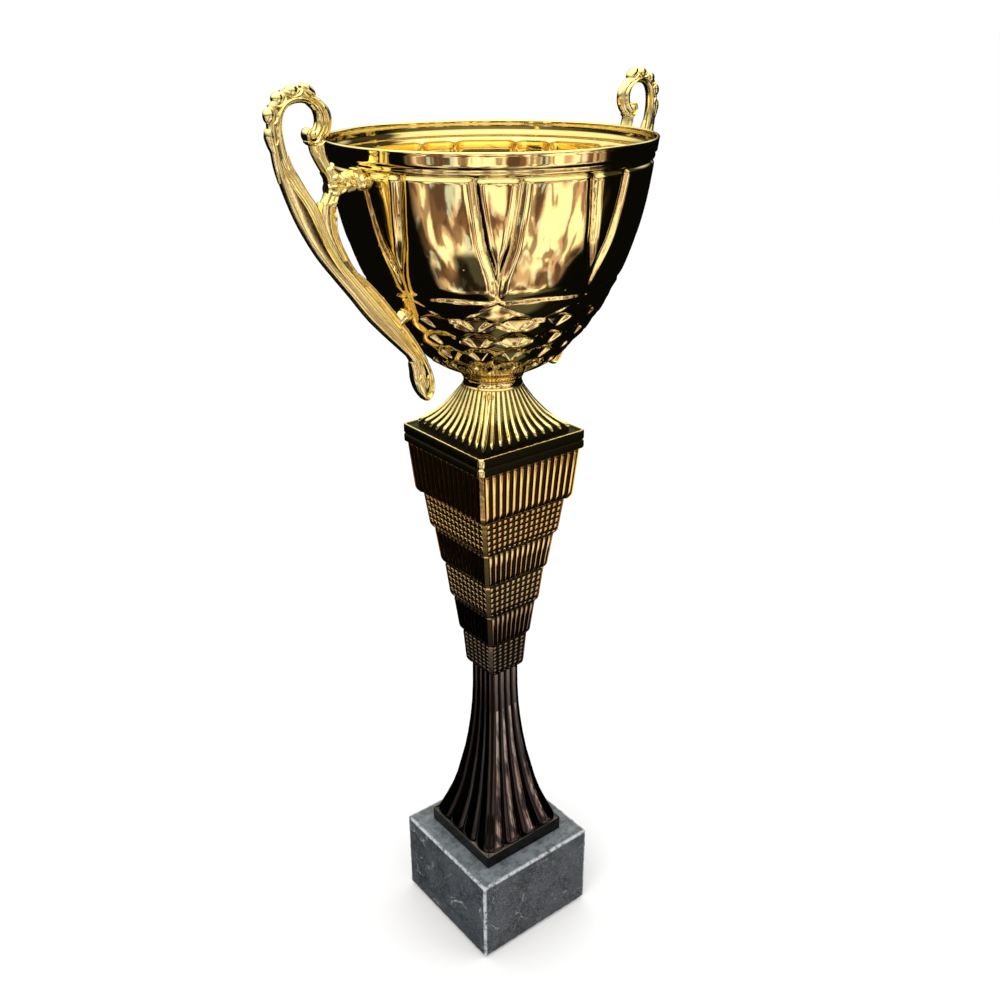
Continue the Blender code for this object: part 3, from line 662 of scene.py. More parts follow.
def handle_parts():
    """The bars, ridges, beads, scroll, knuckles and leaf that one casting is made of."""
    plain = [(0.0, 0.2), (0.06, 0.9), (0.16, 1.4), (0.3, 1.6), (0.85, 1.6), (0.95, 1.2), (1.0, 0.5)]
    crowned = [(0.0, 0.25), (0.08, 0.9), (0.2, 1.5), (0.34, 2.1), (0.46, 2.4), (0.62, 2.45), (0.82, 2.2),
               (0.95, 1.7), (1.0, 1.0)]
    ridged = [(0.0, 1.2), (0.03, 1.9), (0.08, 2.75), (0.14, 2.85), (0.2, 2.4), (0.25, 2.35), (0.31, 2.85),
              (0.38, 2.95),
              (0.45, 2.5), (0.5, 2.45), (0.55, 2.9), (0.62, 3.0), (0.69, 2.6), (0.74, 2.5), (0.8, 2.9),
              (0.88, 2.9),
              (0.95, 2.2), (1.0, 1.0)]
    looped = [(0.0, 0.7), (0.05, 1.3), (0.16, 1.9), (0.3, 2.1), (0.38, 2.1), (0.5, 1.9), (0.55, 1.9),
              (0.6, 2.5), (0.7, 2.8),
              (0.82, 2.5), (0.93, 1.5), (1.0, 0.3)]
    strapped = [(0.0, 0.3), (0.06, 1.1), (0.16, 2.0), (0.27, 2.6), (0.35, 2.5), (0.39, 2.0), (0.43, 2.6),
                (0.47, 2.8),
                (0.51, 2.2), (0.54, 2.6), (0.58, 2.8), (0.62, 2.0), (0.65, 1.9), (0.69, 2.5), (0.8, 2.7),
                (0.87, 2.3),
                (0.93, 1.6), (0.97, 1.0), (1.0, 0.3)]
    banded = [(0.0, 0.3), (0.08, 1.1), (0.2, 2.1), (0.32, 2.6), (0.42, 2.3), (0.48, 1.9), (0.54, 2.4),
              (0.68, 2.9),
              (0.82, 2.3), (0.93, 1.2), (1.0, 0.3)]
    web = [(0.0, 1.0), (0.08, 1.4), (0.92, 1.4), (1.0, 1.0)]
    found = [
        strip(ARM_OUTSIDE, ARM_INSIDE, plain, 90, (0.5, 0.8)),
        strip(ARM_OUTSIDE, ARM_RIM_INSIDE, crowned, 90, (0.7, 0.8)),
        strip(RIBBON_OUTSIDE, RIBBON_INSIDE, ridged, 90, (0.6, 0.75)),
        rail(ARM_INSIDE[3:10], 1.0, [2.2, 2.7, 2.7, 2.6, 2.0], 60),
        strip(WEB_OUTSIDE, WEB_INSIDE, web, 40),
        rail(WEB_INSIDE[:-1], [0.4, 0.7, 0.75, 0.75, 0.8], [2.0, 2.2, 2.2, 2.2, 2.4], 50),
        rail(WEB_OUTSIDE, [0.6, 0.8, 0.8, 0.7], [2.7, 2.9, 2.9, 2.6], 50),
        strip(LOOP_OUTSIDE, LOOP_INSIDE, looped, 90, (0.7, 1.0)),
        strip(LOOP_OUTSIDE[11:], LOOP_INSIDE[8:], strapped, 56, (0.75, 1.0)),
        strip(STRAP_OUTSIDE, STRAP_INSIDE, banded, 40, (1.0, 0.9)),
        # scroll at the strap's end, with the small shelf under it
        bead((101.7, 486.4), 2.2, 2.2, 3.2),
        rail(arc((101.6, 486.2), 2.9, 2.9, 75, -185, count=11), [0.5, 0.85, 0.9, 0.8], 3.1, 44),
        rail([(104.8, 483.8), (102.0, 482.4), (98.6, 482.2), (95.6, 483.8)], 0.85, [2.4, 2.9, 2.9, 2.3], 24),
    ]
    # the five beads on the loop's outside, each in its collar
    found += [
        rail([(121.6, 490.0), (121.7, 487.2), (121.0, 483.8), (120.2, 480.4), (119.2, 477.0)],
             [1.6, 2.3, 2.0, 1.2, 0.4], [1.8, 2.4, 2.3, 1.9, 1.4], 34, 16),
        bead((120.9, 494.8), 2.7, 3.4, 2.4, 10), bead((116.4, 501.0), 2.9, 2.9, 2.5),
        bead((109.3, 503.7), 3.3, 2.8, 2.5),
        rail([(105.0, 505.4), (103.4, 504.8), (100.6, 502.8), (99.0, 501.0)], [1.5, 2.2, 2.1, 1.1],
             [2.0, 2.7, 2.6, 2.0], 26, 16),
        rail(arc((122.4, 487.2), 3.9, 5.0, 125, 235), [0.4, 0.75, 0.75, 0.4], 2.7),
        rail(arc((122.0, 495.1), 4.1, 3.9, 115, 248), [0.4, 0.8, 0.8, 0.4], 2.8),
        rail(arc((117.3, 502.0), 4.0, 3.8, 145, 303), [0.4, 0.8, 0.8, 0.4], 2.8),
        rail(arc((109.4, 505.2), 4.2, 3.6, 190, 338), [0.4, 0.8, 0.8, 0.4], 2.8),
        rail([(105.2, 503.4), (102.6, 501.4), (99.6, 500.2), (96.8, 499.4)], [0.4, 0.7, 0.7, 0.4], 2.7),
        rail([(106.4, 501.6), (103.0, 499.9), (100.4, 498.6), (98.2, 497.4)], [0.3, 0.5, 0.5, 0.3], 2.9),
    ]
    # the knuckled bracket between the strap, the web and the cup
    found += [
        strip([(95.6, 470.8), (92.6, 471.8), (89.0, 470.0), (85.0, 470.0), (81.6, 470.6), (78.2, 472.0)],
              [(96.6, 460.4), (92.6, 459.0), (88.0, 460.8), (83.6, 462.4), (81.0, 462.6), (77.6, 462.2)],
              banded, 36,
              (0.9, 1.0)),
        strip([(95.2, 466.4), (94.6, 463.0), (96.0, 460.0), (98.2, 457.6)],
              [(89.4, 464.4), (89.8, 460.8), (91.0, 457.6), (91.6, 455.0)], banded, 24, (0.9, 0.8)),
        bead((94.2, 472.0), 3.3, 1.7, 3.3, -38), bead((92.4, 468.3), 3.3, 1.8, 3.5, -16),
        bead((92.4, 464.6), 2.9, 1.2, 3.4, 6), bead((92.4, 461.4), 3.0, 1.7, 3.4, 14),
        bead((93.6, 457.8), 2.8, 1.3, 3.0, 8),
        rail([(98.8, 457.0), (96.6, 460.2), (95.2, 464.0), (95.6, 467.6), (97.6, 470.8)],
             [0.4, 0.7, 0.7, 0.4], 2.6, 24),
        bead((88.4, 466.4), 3.6, 1.5, 3.6, 58), bead((85.0, 466.8), 3.5, 1.4, 3.6, 72),
        bead((88.2, 462.4), 2.7, 1.1, 3.2, -30),
        bead((81.2, 466.9), 1.9, 3.0, 3.8), rail(arc((81.2, 466.9), 3.3, 4.1, 75, 285), 0.6, 3.3, 30),
    ]
    # the leaf at the arm's foot: a rim, two petals and a central ridge over a sunk middle
    found += [
        rail([(54.2, 378.0), (53.2, 373.0), (52.8, 368.6), (51.2, 363.8), (48.8, 359.8), (45.6, 356.9),
              (42.9, 358.4),
              (41.6, 362.4), (42.4, 368.4), (44.7, 374.6), (48.2, 381.0)], 1.05,
              [2.2, 2.7, 2.8, 2.8, 2.4, 2.8, 2.8, 2.7, 2.2], 70),
        rail([(50.6, 379.0), (48.4, 372.6), (47.4, 367.0), (46.4, 361.6)], [0.9, 0.9, 0.8, 0.4],
             [3.1, 2.8, 2.6, 2.0], 30),
        bead((49.9, 367.4), 1.1, 4.2, 2.6, 14), bead((45.0, 366.0), 1.0, 4.6, 2.6, 8),
    ]
    found += [boss(464.9, 3.8, 3.6), boss(401.0, 3.0, 4.4)]
    return found


def build_handles(settings):
    """The casting's own plane, (out, up) with its thickness across, turned about the cup's axis.
    The far handle is the near one turned half a circle more."""
    c, s = cos(settings.handle_turn), sin(settings.handle_turn)
    for label, side in (("left", -1), ("right", 1)):
        shells, dips = [], []
        for (points, quads, tris), dip in handle_parts():
            out, rise, through = points.T
            flat = side * np.stack([out, through], -1)
            placed = np.stack([flat[:, 0] * c - flat[:, 1] * s, flat[:, 0] * s + flat[:, 1] * c, rise], -1)
            shells.append((placed, quads, tris))
            dips.append(dip)
        make_piece(f"handle_{label}_casting", shells, handle_gold(), [f"handle_{label}"],
                   np.concatenate(dips), crease=50)


# ---------------------------------------------------------------- shader maths

class Number:
    """A socket that carries a number. Writing a sum, product or power of it adds Math nodes."""

    def __init__(self, finish, socket):
        self.finish, self.socket = finish, socket

    def join(self, operation, *others, clamp=False):
        """A Math node of this number and the others."""
        node = self.finish.node("ShaderNodeMath", {"operation": operation, "use_clamp": clamp},
                                dict(enumerate((self,) + others)))
        return Number(self.finish, node.outputs[0])

    def __add__(self, other):
        return self.join("ADD", other)

    def __sub__(self, other):
        return self.join("SUBTRACT", other)

    def __rsub__(self, other):
        return (self * -1) + other

    def __mul__(self, other):
        return self.join("MULTIPLY", other)

    def __truediv__(self, other):
        return self.join("DIVIDE", other)

    def __rtruediv__(self, other):
        return self ** -1 * other

    def __pow__(self, other):
        return self.join("POWER", other)

    __radd__, __rmul__ = __add__, __mul__

    def clamp(self):
        """Held between 0 and 1."""
        return self.join("MULTIPLY", 1.0, clamp=True)

    def ramp(self, low, high):
        """0 at low, 1 at high, an even S between, whichever of the two is greater."""
        return self.finish.number("ShaderNodeMapRange", {"interpolation_type": "SMOOTHSTEP"}, {
            "Value": self, "From Min": low, "From Max": high})


class Finish:
    """The node graph of one material or of the world."""

    def __init__(self, tree):
        self.tree = tree
        tree.nodes.clear()

    def node(self, kind, options=None, values=None):
        """Adds a node, sets its options, then gives each named socket a value or a link."""
        node = self.tree.nodes.new(kind)
        for key, value in (options or {}).items():
            if key == "stops":
                fill_stops(node.color_ramp, value)
            else:
                setattr(node, key, value)
        for key, value in (values or {}).items():
            socket = node.inputs[key]
            if isinstance(value, Number):
                value = value.socket
            if isinstance(value, bpy.types.NodeSocket):
                self.tree.links.new(value, socket)
            else:
                socket.default_value = value
        return node

    def number(self, kind, options=None, values=None):
        """A node whose first output is a number."""
        return Number(self, self.node(kind, options, values).outputs[0])

    def place(self, scale=(1, 1, 1), turn=(0, 0, 0)):
        """Object coordinates, turned and scaled."""
        coordinates = self.node("ShaderNodeTexCoord").outputs["Object"]
        return self.node("ShaderNodeMapping", None,
                         {"Vector": coordinates, "Scale": scale, "Rotation": turn}).outputs[0]

    def noise(self, size, detail=3.0, roughness=0.5, distortion=0.0, stretch=(1, 1, 1)):
        """Soft random patches, about size metres across."""
        vector = self.place(stretch)
        return self.number("ShaderNodeTexNoise", {"noise_dimensions": "3D"}, {
            "Vector": vector, "Scale": 1 / size, "Detail": detail, "Roughness": roughness,
            "Distortion": distortion})

    def axis(self, name):
        """One object coordinate, in metres."""
        coordinates = self.node("ShaderNodeTexCoord").outputs["Object"]
        return Number(self, self.node("ShaderNodeSeparateXYZ", None, {0: coordinates}).outputs[name])

    def recess(self):
        """How deep a point lies in a groove, as the mesh stores it."""
        return Number(self, self.node("ShaderNodeAttribute", {"attribute_name": "recess"}).outputs["Fac"])

    def mix(self, factor, first, second, blend="MIX"):
        """A colour between two, each a colour or a socket."""
        node = self.node("ShaderNodeMix", {"data_type": "RGBA", "blend_type": blend},
                         {0: factor, 6: first, 7: second})
        return node.outputs[2]

    def stops(self, factor, stops):
        """A colour read off a row of (place, colour) stops."""
        return self.node("ShaderNodeValToRGB", {"stops": stops}, {0: factor}).outputs[0]

    def surface(self, colour, roughness, metallic, bump=None, bump_depth=0.0001, **fixed):
        """The material's shader. bump is a height, and fixed names more sockets, with _ for a space."""
        values = {"Base Color": colour, "Roughness": roughness, "Metallic": metallic}
        values.update({key.replace("_", " "): value for key, value in fixed.items()})
        if bump is not None:
            node = self.node("ShaderNodeBump", None,
                             {"Height": bump, "Distance": bump_depth, "Strength": 1.0})
            values["Normal"] = node.outputs[0]
        shader = self.node("ShaderNodeBsdfPrincipled", None, values)
        self.node("ShaderNodeOutputMaterial", None, {"Surface": shader.outputs[0]})


def fill_stops(ramp, stops):
    """Sets a ramp's stops, given as (place, colour) in order."""
    while len(ramp.elements) < len(stops):
        ramp.elements.new(1.0)
    for element, (place, colour) in zip(ramp.elements, stops):
        element.position = place
        element.color = colour


# ---------------------------------------------------------------- finishes

DUST_SPECK = (0.75, 0.72, 0.66, 1)
PALE_HIGHLIGHT_GOLD = (0.98, 0.89, 0.50, 1)
REED_SHADE = (0.030, 0.026, 0.028, 1)
REED_HIGHLIGHT = (0.42, 0.33, 0.31, 1)
GROOVE_SHADE = (0.006, 0.005, 0.0045, 1)
VEIN_WHITE = (0.55, 0.57, 0.6, 1)
FLECK_GREY = (0.45, 0.48, 0.52, 1)
PIT_BLACK = (0.01, 0.011, 0.014, 1)
SALT_GREY = (0.25, 0.28, 0.30, 1)
WORN_EDGE = (0.55, 0.58, 0.60, 1)
FELT_DARK = (0.03, 0.03, 0.032, 1)
FELT_PALE = (0.12, 0.12, 0.125, 1)
ZINC_BLUE = (0.58, 0.6, 0.64, 1)
ZINC_YELLOW = (0.7, 0.68, 0.6, 1)
STEM_FOOT, STEM_RISE = 0.057, 0.263  # metres
OMBRE = [  # share of the stem's height, colour
    (0.0, (0.03, 0.028, 0.03, 1)), (0.05, (0.09, 0.08, 0.082, 1)), (0.42, (0.13, 0.115, 0.115, 1)),
    (0.52, (0.17, 0.13, 0.105, 1)), (0.62, (0.38, 0.26, 0.17, 1)), (0.72, (0.72, 0.53, 0.28, 1)),
    (0.84, (0.92, 0.60, 0.25, 1)), (1.0, (0.96, 0.62, 0.22, 1)),
]
made = {}


def material(name, build):
    """Makes a named material once."""
    if name not in made:
        fresh = bpy.data.materials.new(name)
        fresh.use_nodes = True
        build(Finish(fresh.node_tree))
        made[name] = fresh
    return made[name]


def chosen():
    """The sizes and colours set in the panel."""
    return bpy.context.scene.trophy_settings


def rgba(colour):
    """A panel colour with full opacity."""
    return tuple(colour) + (1.0,)


def specks(g, size, share):
    """A mask of small scattered dots: Voronoi cells whose own random value is under a share."""
    vector = g.place()
    cells = g.node("ShaderNodeTexVoronoi", {"feature": "F1"}, {"Vector": vector, "Scale": 1 / size})
    pick = Number(g, g.node("ShaderNodeSeparateColor", None, {0: cells.outputs["Color"]}).outputs[0])
    near = Number(g, cells.outputs["Distance"])
    return near.join("LESS_THAN", 0.13) * pick.join("LESS_THAN", share)


def gold_plate():
    """Bright gold plate: painted darker and warmer in hollows as shade, with faint rub haze and a few dust
    specks.
    """
    def build(g):
        tint = g.noise(0.03, 2.0)
        colour = g.mix(tint, rgba(chosen().gold), rgba(chosen().gold_warm))
        # painted shade: the plate is darkened towards the hollow colour where the mesh lies deep in a groove
        deep = g.recess().ramp(0.35, 1.0)
        colour = g.mix(deep * 0.55, colour, rgba(chosen().gold_hollow_shade))
        dust = specks(g, 0.004, 0.05)
        colour = g.mix(dust * 0.7, colour, DUST_SPECK)
        haze = g.noise(0.012, 4.0, 0.6)
        roughness = 0.035 + haze * 0.05 + dust * 0.4 + deep * 0.08
        ripple = g.noise(0.006, 2.0)
        g.surface(colour, roughness, 1.0, ripple, 0.00002)
    return material("gold_plate", build)


def handle_gold():
    """Gold plate on the castings: soft cast ripple, paled all over as a painted highlight, and painted darker
    and warmer in the grooves as shade, where it is also duller.
    """
    def build(g):
        tint = g.noise(0.02, 2.0)
        colour = g.mix(tint, rgba(chosen().gold), rgba(chosen().gold_warm))
        # painted shade: darker plate in the casting's grooves
        deep = g.recess().ramp(0.2, 0.8)
        colour = g.mix(deep * 0.6, colour, rgba(chosen().gold_hollow_shade))
        # painted highlight: the whole casting is paled towards a cream gold to stand for the bright
        # reflections it catches
        colour = g.mix(0.6, colour, PALE_HIGHLIGHT_GOLD)
        roughness = 0.09 + g.noise(0.004, 3.0) * 0.08 + deep * 0.12
        g.surface(colour, roughness, 1.0, g.noise(0.0035, 3.0, 0.6), 0.00006)
    return material("handle_gold", build)


def collar_gold():
    """Gold plate whose sunk ground is stippled and filled with a dark olive patina. The flange's sides, save
    their corners, take the same dark colour as a painted dark reflection.
    """
    def build(g):
        grain = g.noise(0.0006, 3.0, 0.7)
        deep = (g.recess() + (grain - 0.5) * 0.5).ramp(0.2, 0.62)
        colour = g.mix(deep, rgba(chosen().gold), rgba(chosen().patina))
        roughness = 0.05 + deep * 0.42
        g.surface(colour, roughness, 1.0, grain * deep, 0.00025)
    return material("collar_gold", build)


def ombre_metal():
    """Plating that fades up the stem from black chrome through bronze to gold. The grooves are painted near
    black as shade, and the foot is painted darker as shade with thin painted highlight streaks on its reed
    crests.
    """
    def build(g):
        rise = (g.axis("Z") - STEM_FOOT) / STEM_RISE + (g.noise(0.02, 2.0) - 0.5) * 0.03
        colour = g.stops(rise.clamp(), OMBRE)
        # painted shade and painted highlight: the lower stem is painted darker as shade, except thin streaks
        # on the foot's reed crests, which are painted pinkish highlights
        low = window(g.axis("Z"), 0.0662, 0.154, 0.0004)
        highlight_streak = g.noise(0.004, 3.0, 0.6, stretch=(1, 1, 0.15)).ramp(0.40, 0.62)
        crest = g.recess().ramp(0.06, 0.01) * highlight_streak
        shaded = g.axis("Z").ramp(0.184, 0.150) * (1 - crest * low)
        colour = g.mix(shaded * 0.8, colour, REED_SHADE)
        colour = g.mix(low * crest * 0.7, colour, REED_HIGHLIGHT)
        # painted shade: the stem's grooves are painted near black
        grain = g.noise(0.0008, 3.0, 0.7)
        deep = (g.recess() + (grain - 0.5) * 0.15).ramp(0.25, 0.7)
        colour = g.mix(deep * 0.96, colour, GROOVE_SHADE)
        roughness = 0.05 + deep * 0.3 + g.noise(0.01, 3.0) * 0.05
        g.surface(colour, roughness, 1.0, g.noise(0.003, 2.0), 0.00003)
    return material("ombre_metal", build)


def marble():
    """Dark blue-grey stone: cloudy grain, broken white veins, pale flecks, dark pits, worn edges, and a top
    lightened partly as dust and partly as painted light.
    """
    def build(g):
        cloud = g.noise(0.02, 5.0, 0.6)
        mottle = g.noise(0.0026, 8.0, 0.85)
        patches = (0.4 * cloud + 0.6 * mottle).ramp(0.42, 0.56)
        colour = g.mix(patches, rgba(chosen().stone_dark), rgba(chosen().stone))
        warp = g.noise(0.035, 4.0, 0.55, 1.2)
        vein = (warp - 0.5).join("ABSOLUTE").ramp(0.012, 0.0)
        broken = g.noise(0.009, 3.0).ramp(0.5, 0.62)
        colour = g.mix(vein * broken * 0.45, colour, VEIN_WHITE)
        fleck = specks(g, 0.0022, 0.25)
        colour = g.mix(fleck * 0.45, colour, FLECK_GREY)
        pits = specks(g, 0.0031, 0.3)
        colour = g.mix(pits * 0.7, colour, PIT_BLACK)
        x, y = g.axis("X").join("ABSOLUTE"), g.axis("Y").join("ABSOLUTE")
        top, side = chosen().stone_top, chosen().stone_width / 2
        upper = g.axis("Z").ramp(top - 0.0010, top - 0.0001)
        sides = x.join("MAXIMUM", y).ramp(side - 0.0021, side - 0.0006)
        corners = x.join("MINIMUM", y).ramp(side - 0.0021, side - 0.0006)
        top_edge = g.axis("Z").ramp(top - 0.0021, top - 0.0006) * sides
        wear = (top_edge + corners).clamp() * g.noise(0.0030, 4.0, 0.7).ramp(0.32, 0.55)
        salt = g.noise(0.0009, 4.0, 0.8).ramp(0.54, 0.64)
        colour = g.mix(salt * 0.55, colour, SALT_GREY)
        # partly a dust film, partly painted light: the top face is lightened in patches
        dust = upper * (0.2 + 0.75 * g.noise(0.006, 6.0, 0.75).ramp(0.4, 0.6))
        colour = g.mix(dust, colour, rgba(chosen().stone_dust_and_top_light))
        colour = g.mix(wear * 0.85, colour, WORN_EDGE)
        roughness = 0.22 + 0.2 * cloud + 0.3 * wear + 0.3 * upper
        g.surface(colour, roughness, 0.0, g.noise(0.0012, 4.0, 0.6) - pits * 0.6, 0.00008)
    return material("marble", build)


def felt():
    """Dark grey wool felt with loose fibres."""
    def build(g):
        fibre = g.noise(0.0006, 5.0, 0.75, 1.5)
        colour = g.mix(fibre, FELT_DARK, FELT_PALE)
        g.surface(colour, 0.9, 0.0, fibre, 0.0004, Sheen_Weight=0.4)
    return material("felt", build)


def zinc_steel():
    """Bright zinc on steel, with a faint blue to yellow passivation and fine turning lines."""
    def build(g):
        tint = g.noise(0.004, 3.0)
        colour = g.mix(tint, ZINC_BLUE, ZINC_YELLOW)
        roughness = 0.24 + g.noise(0.0008, 4.0) * 0.18
        g.surface(colour, roughness, 1.0, g.noise(0.0005, 2.0, stretch=(1, 1, 4)), 0.00003)
    return material("zinc_steel", build)


# ---------------------------------------------------------------- hardware kept from the frame

def finish_hardware():
    """Gives the frame's own rod, nuts, washers, screws and pads their finish. Their shapes stay."""
    for name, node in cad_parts.items():
        if name.startswith("felt_pad"):
            finish = felt()
        elif name.startswith(("handle_screw", "screw_washer")) or name.endswith(("nut", "washer", "rod")):
            finish = zinc_steel()
        else:
            continue
        node.data.materials.clear()
        node.data.materials.append(finish)


# ---------------------------------------------------------------- stage, light and camera

CAMERA_PLACE = (-0.3249, -0.4202, 0.5289)
CAMERA_AIM = (0.5613, 0.7161, -0.4150)
CAMERA_ROLL = -0.3
CAMERA_LENS = 37.77
FLOOR_REACH = 60.0  # metres each way
UNLIT = (0.003, 0.003, 0.003, 1)
UNLIT_WARM = (0.003, 0.003, 0.002, 1)
CREAM = (1.45, 1.37, 1.14, 1)
TAN = (0.78, 0.53, 0.42, 1)
BROWN = (0.12, 0.07, 0.055, 1)
CHESTNUT = (0.24, 0.13, 0.09, 1)
SKY_BLUE = (1.0, 1.2, 1.35, 1)
SHADE = (0.008, 0.008, 0.007, 1)
DEEP_BLUE = (0.05, 0.11, 0.17, 1)
OLIVE_GROUND = (0.10, 0.105, 0.075, 1)
CEILING = (1.30, 1.26, 0.92, 1)
CEILING_TOP = (2.5, 2.3, 1.6, 1)
BACKDROP = (1.07, 1.07, 1.07, 1)


def window(value, low, high, soft):
    """1 between low and high, with soft edges."""
    return value.ramp(low - soft, low + soft) * value.ramp(high + soft, high - soft)


def build_light():
    """The world: white to the camera, and a dark studio with a warm patched wall and a bright
    ceiling to reflections. Directions are azimuth and elevation in degrees."""
    world = bpy.data.worlds.new("studio")
    bpy.context.scene.world = world
    world.use_nodes = True
    g = Finish(world.node_tree)
    ray = g.node("ShaderNodeTexCoord").outputs["Generated"]
    parts = g.node("ShaderNodeSeparateXYZ", None, {0: ray})
    x, y, z = (Number(g, parts.outputs[i]) for i in range(3))
    around = y.join("ARCTAN2", x) * (180 / pi)
    rise = z.join("ARCSINE") * (180 / pi)
    # azimuth counted on from -190 so that the warm sector doesn't straddle the seam
    swing = (around + 190).join("FLOORED_MODULO", 360)
    shelf = ((rise + 24) / 13) ** 2
    reach = 126 + 36 / (1 + shelf)
    warm = (swing / 9 - 0.2).clamp() * ((reach - swing) / 8).clamp() * window(rise, -65, 4, 4)
    sky = g.node("ShaderNodeMapping", None, {
        "Vector": ray, "Scale": (1.0, 1.0, 0.42), "Rotation": (0.0, 0.25, 0.0)}).outputs[0]
    broad = g.number("ShaderNodeTexNoise", {"noise_dimensions": "3D"}, {
        "Vector": sky, "Scale": 5.5, "Detail": 1.0, "Roughness": 0.4, "Distortion": 0.6})
    small = g.number("ShaderNodeTexNoise", {"noise_dimensions": "3D"}, {
        "Vector": sky, "Scale": 11.0, "Detail": 1.0, "Roughness": 0.4, "Distortion": 0.8})
    glow = g.mix(broad.ramp(0.44, 0.50), CREAM, TAN)
    glow = g.mix(broad.ramp(0.54, 0.58), glow, BROWN)
    glow = g.mix(small.ramp(0.55, 0.61) * 0.85, glow, CHESTNUT)
    glow = g.mix(small.ramp(0.40, 0.36) * 0.7, glow, SKY_BLUE)
    shade = window(swing, 26, 60, 5) * window(rise, -61, -42, 3)
    glow = g.mix(shade * 0.95, glow, SHADE)
    blue = window(swing, 73, 83, 3) * window(rise, -54, -36, 4)
    glow = g.mix(blue * 0.8, glow, DEEP_BLUE)
    zenith = rise.ramp(4, 24)
    ground = rise.ramp(-48, -62) * window(swing, 60, 180, 25)
    far = g.mix(ground, UNLIT, OLIVE_GROUND)
    far = g.mix(warm, far, glow)
    far = g.mix(zenith * 0.95, far, CEILING)
    far = g.mix(rise.ramp(34, 52), far, CEILING_TOP)
    dim = window(swing, 143, 196, 8) * rise.ramp(52, 38)
    far = g.mix(dim * 0.96, far, UNLIT_WARM)
    light = g.node("ShaderNodeLightPath")
    mirrored = Number(g, light.outputs["Is Glossy Ray"])
    colour = g.mix(mirrored, BACKDROP, far)
    back = g.node("ShaderNodeBackground", None, {"Color": colour, "Strength": 1.0})
    g.node("ShaderNodeOutputWorld", None, {"Surface": back.outputs[0]})
    bpy.context.scene.view_settings.view_transform = "Standard"


def soft_lamp(name, place, aim, size, power, colour):
    """A round area lamp aimed at a point. Size is its diameter in metres, power in watts."""
    data = bpy.data.lights.new(name, "AREA")
    data.shape = "DISK"
    data.size = size
    data.energy = power
    data.color = colour
    lamp = bpy.data.objects.new(name, data)
    lamp.visible_glossy = False
    lamp.location = place
    lamp.rotation_euler = (Vector(aim) - Vector(place)).to_track_quat("-Z", "Y").to_euler()
    bpy.context.scene.collection.objects.link(lamp)


def build_stage():
    """A pale floor at height 0, the world, and two soft lamps that reflections don't show."""
    reach = FLOOR_REACH
    mesh = bpy.data.meshes.new("floor")
    corners = [(-reach, -reach, 0.0), (reach, -reach, 0.0), (reach, reach, 0.0), (-reach, reach, 0.0)]
    mesh.from_pydata(corners, [], [(0, 1, 2, 3)])

    def plain(g):
        grain = g.noise(0.3, 2.0)
        g.surface(g.mix(grain, (0.93, 0.93, 0.93, 1), (0.95, 0.95, 0.95, 1)), 0.75, 0.0,
                  Specular_IOR_Level=0.0)

    mesh.materials.append(material("pale_floor", plain))
    floor = bpy.data.objects.new("floor", mesh)
    floor.visible_glossy = False
    bpy.context.scene.collection.objects.link(floor)
    build_light()
    soft_lamp("key", (-0.9, -0.5, 1.3), (0, 0, 0.2), 0.9, 6.0, (1.0, 0.97, 0.93))
    soft_lamp("fill", (0.9, -0.9, 0.9), (0, 0, 0.2), 1.0, 2.0, (0.95, 0.97, 1.0))


def build_camera():
    """The camera, from its place, the way it looks, and its roll about that line in degrees."""
    data = bpy.data.cameras.new("camera")
    data.lens = CAMERA_LENS
    data.sensor_width = 36.0
    data.clip_start = 0.01
    camera = bpy.data.objects.new("camera", data)
    aim = Vector(CAMERA_AIM).normalized()
    right = aim.cross(Vector((0, 0, 1))).normalized()
    above = right.cross(aim)
    c, s = cos(radians(CAMERA_ROLL)), sin(radians(CAMERA_ROLL))
    right, above = c * right + s * above, c * above - s * right
    turn = Matrix((right, above, -aim)).transposed().to_4x4()
    camera.matrix_world = Matrix.Translation(CAMERA_PLACE) @ turn
    bpy.context.scene.collection.objects.link(camera)
    bpy.context.scene.camera = camera


# ---------------------------------------------------------------- add-on

def colour_setting(name, text, default):
    return bpy.props.FloatVectorProperty(
        name=name, description=text, subtype="COLOR", size=3, min=0, max=1, default=default)


def length_setting(name, text, default, low, high):
    return bpy.props.FloatProperty(
        name=name, description=text, subtype="DISTANCE", unit="LENGTH", min=low, max=high, default=default)


class TrophySettings(bpy.types.PropertyGroup):
    stone_width: length_setting("Stone width", "Side of the square marble block", 0.082, 0.062, 0.12)
    stone_top: length_setting("Stone top", "Height of the marble's top over the ground", 0.057, 0.04, 0.057)
    cup_sheet: length_setting("Sheet", "Thickness of the cup's wall", 0.0012, 0.0004, 0.002)
    handle_turn: bpy.props.FloatProperty(
        name="Handle turn", description="Angle of the handles' line to the base's sides", subtype="ANGLE",
        unit="ROTATION", min=-pi / 2, max=pi / 2, default=radians(4.6))
    gold: colour_setting("Gold", "Plate on the cup, handles and collar", (0.98, 0.80, 0.40))
    gold_warm: colour_setting("Warm gold", "Slow variation of the plate", (0.97, 0.76, 0.33))
    # painted shade: the plate's colour in its hollows
    gold_hollow_shade: colour_setting("Deep gold", "Plate in the hollows", (0.36, 0.28, 0.08))
    patina: colour_setting("Patina", "Ground between the collar's ribs", (0.020, 0.017, 0.009))
    stone: colour_setting("Stone", "Main colour of the marble", (0.060, 0.067, 0.075))
    stone_dark: colour_setting("Dark stone", "Darker clouds in the marble", (0.024, 0.027, 0.032))
    # partly dust, partly painted light: the lighter colour of the marble's top
    stone_dust_and_top_light: colour_setting("Dust", "Film on the marble's top", (0.17, 0.20, 0.225))


class TROPHY_OT_camera(bpy.types.Operator):
    """Places the camera"""
    bl_idname = "trophy.camera"
    bl_label = "Camera"

    def execute(self, context):
        build_camera()
        return {"FINISHED"}


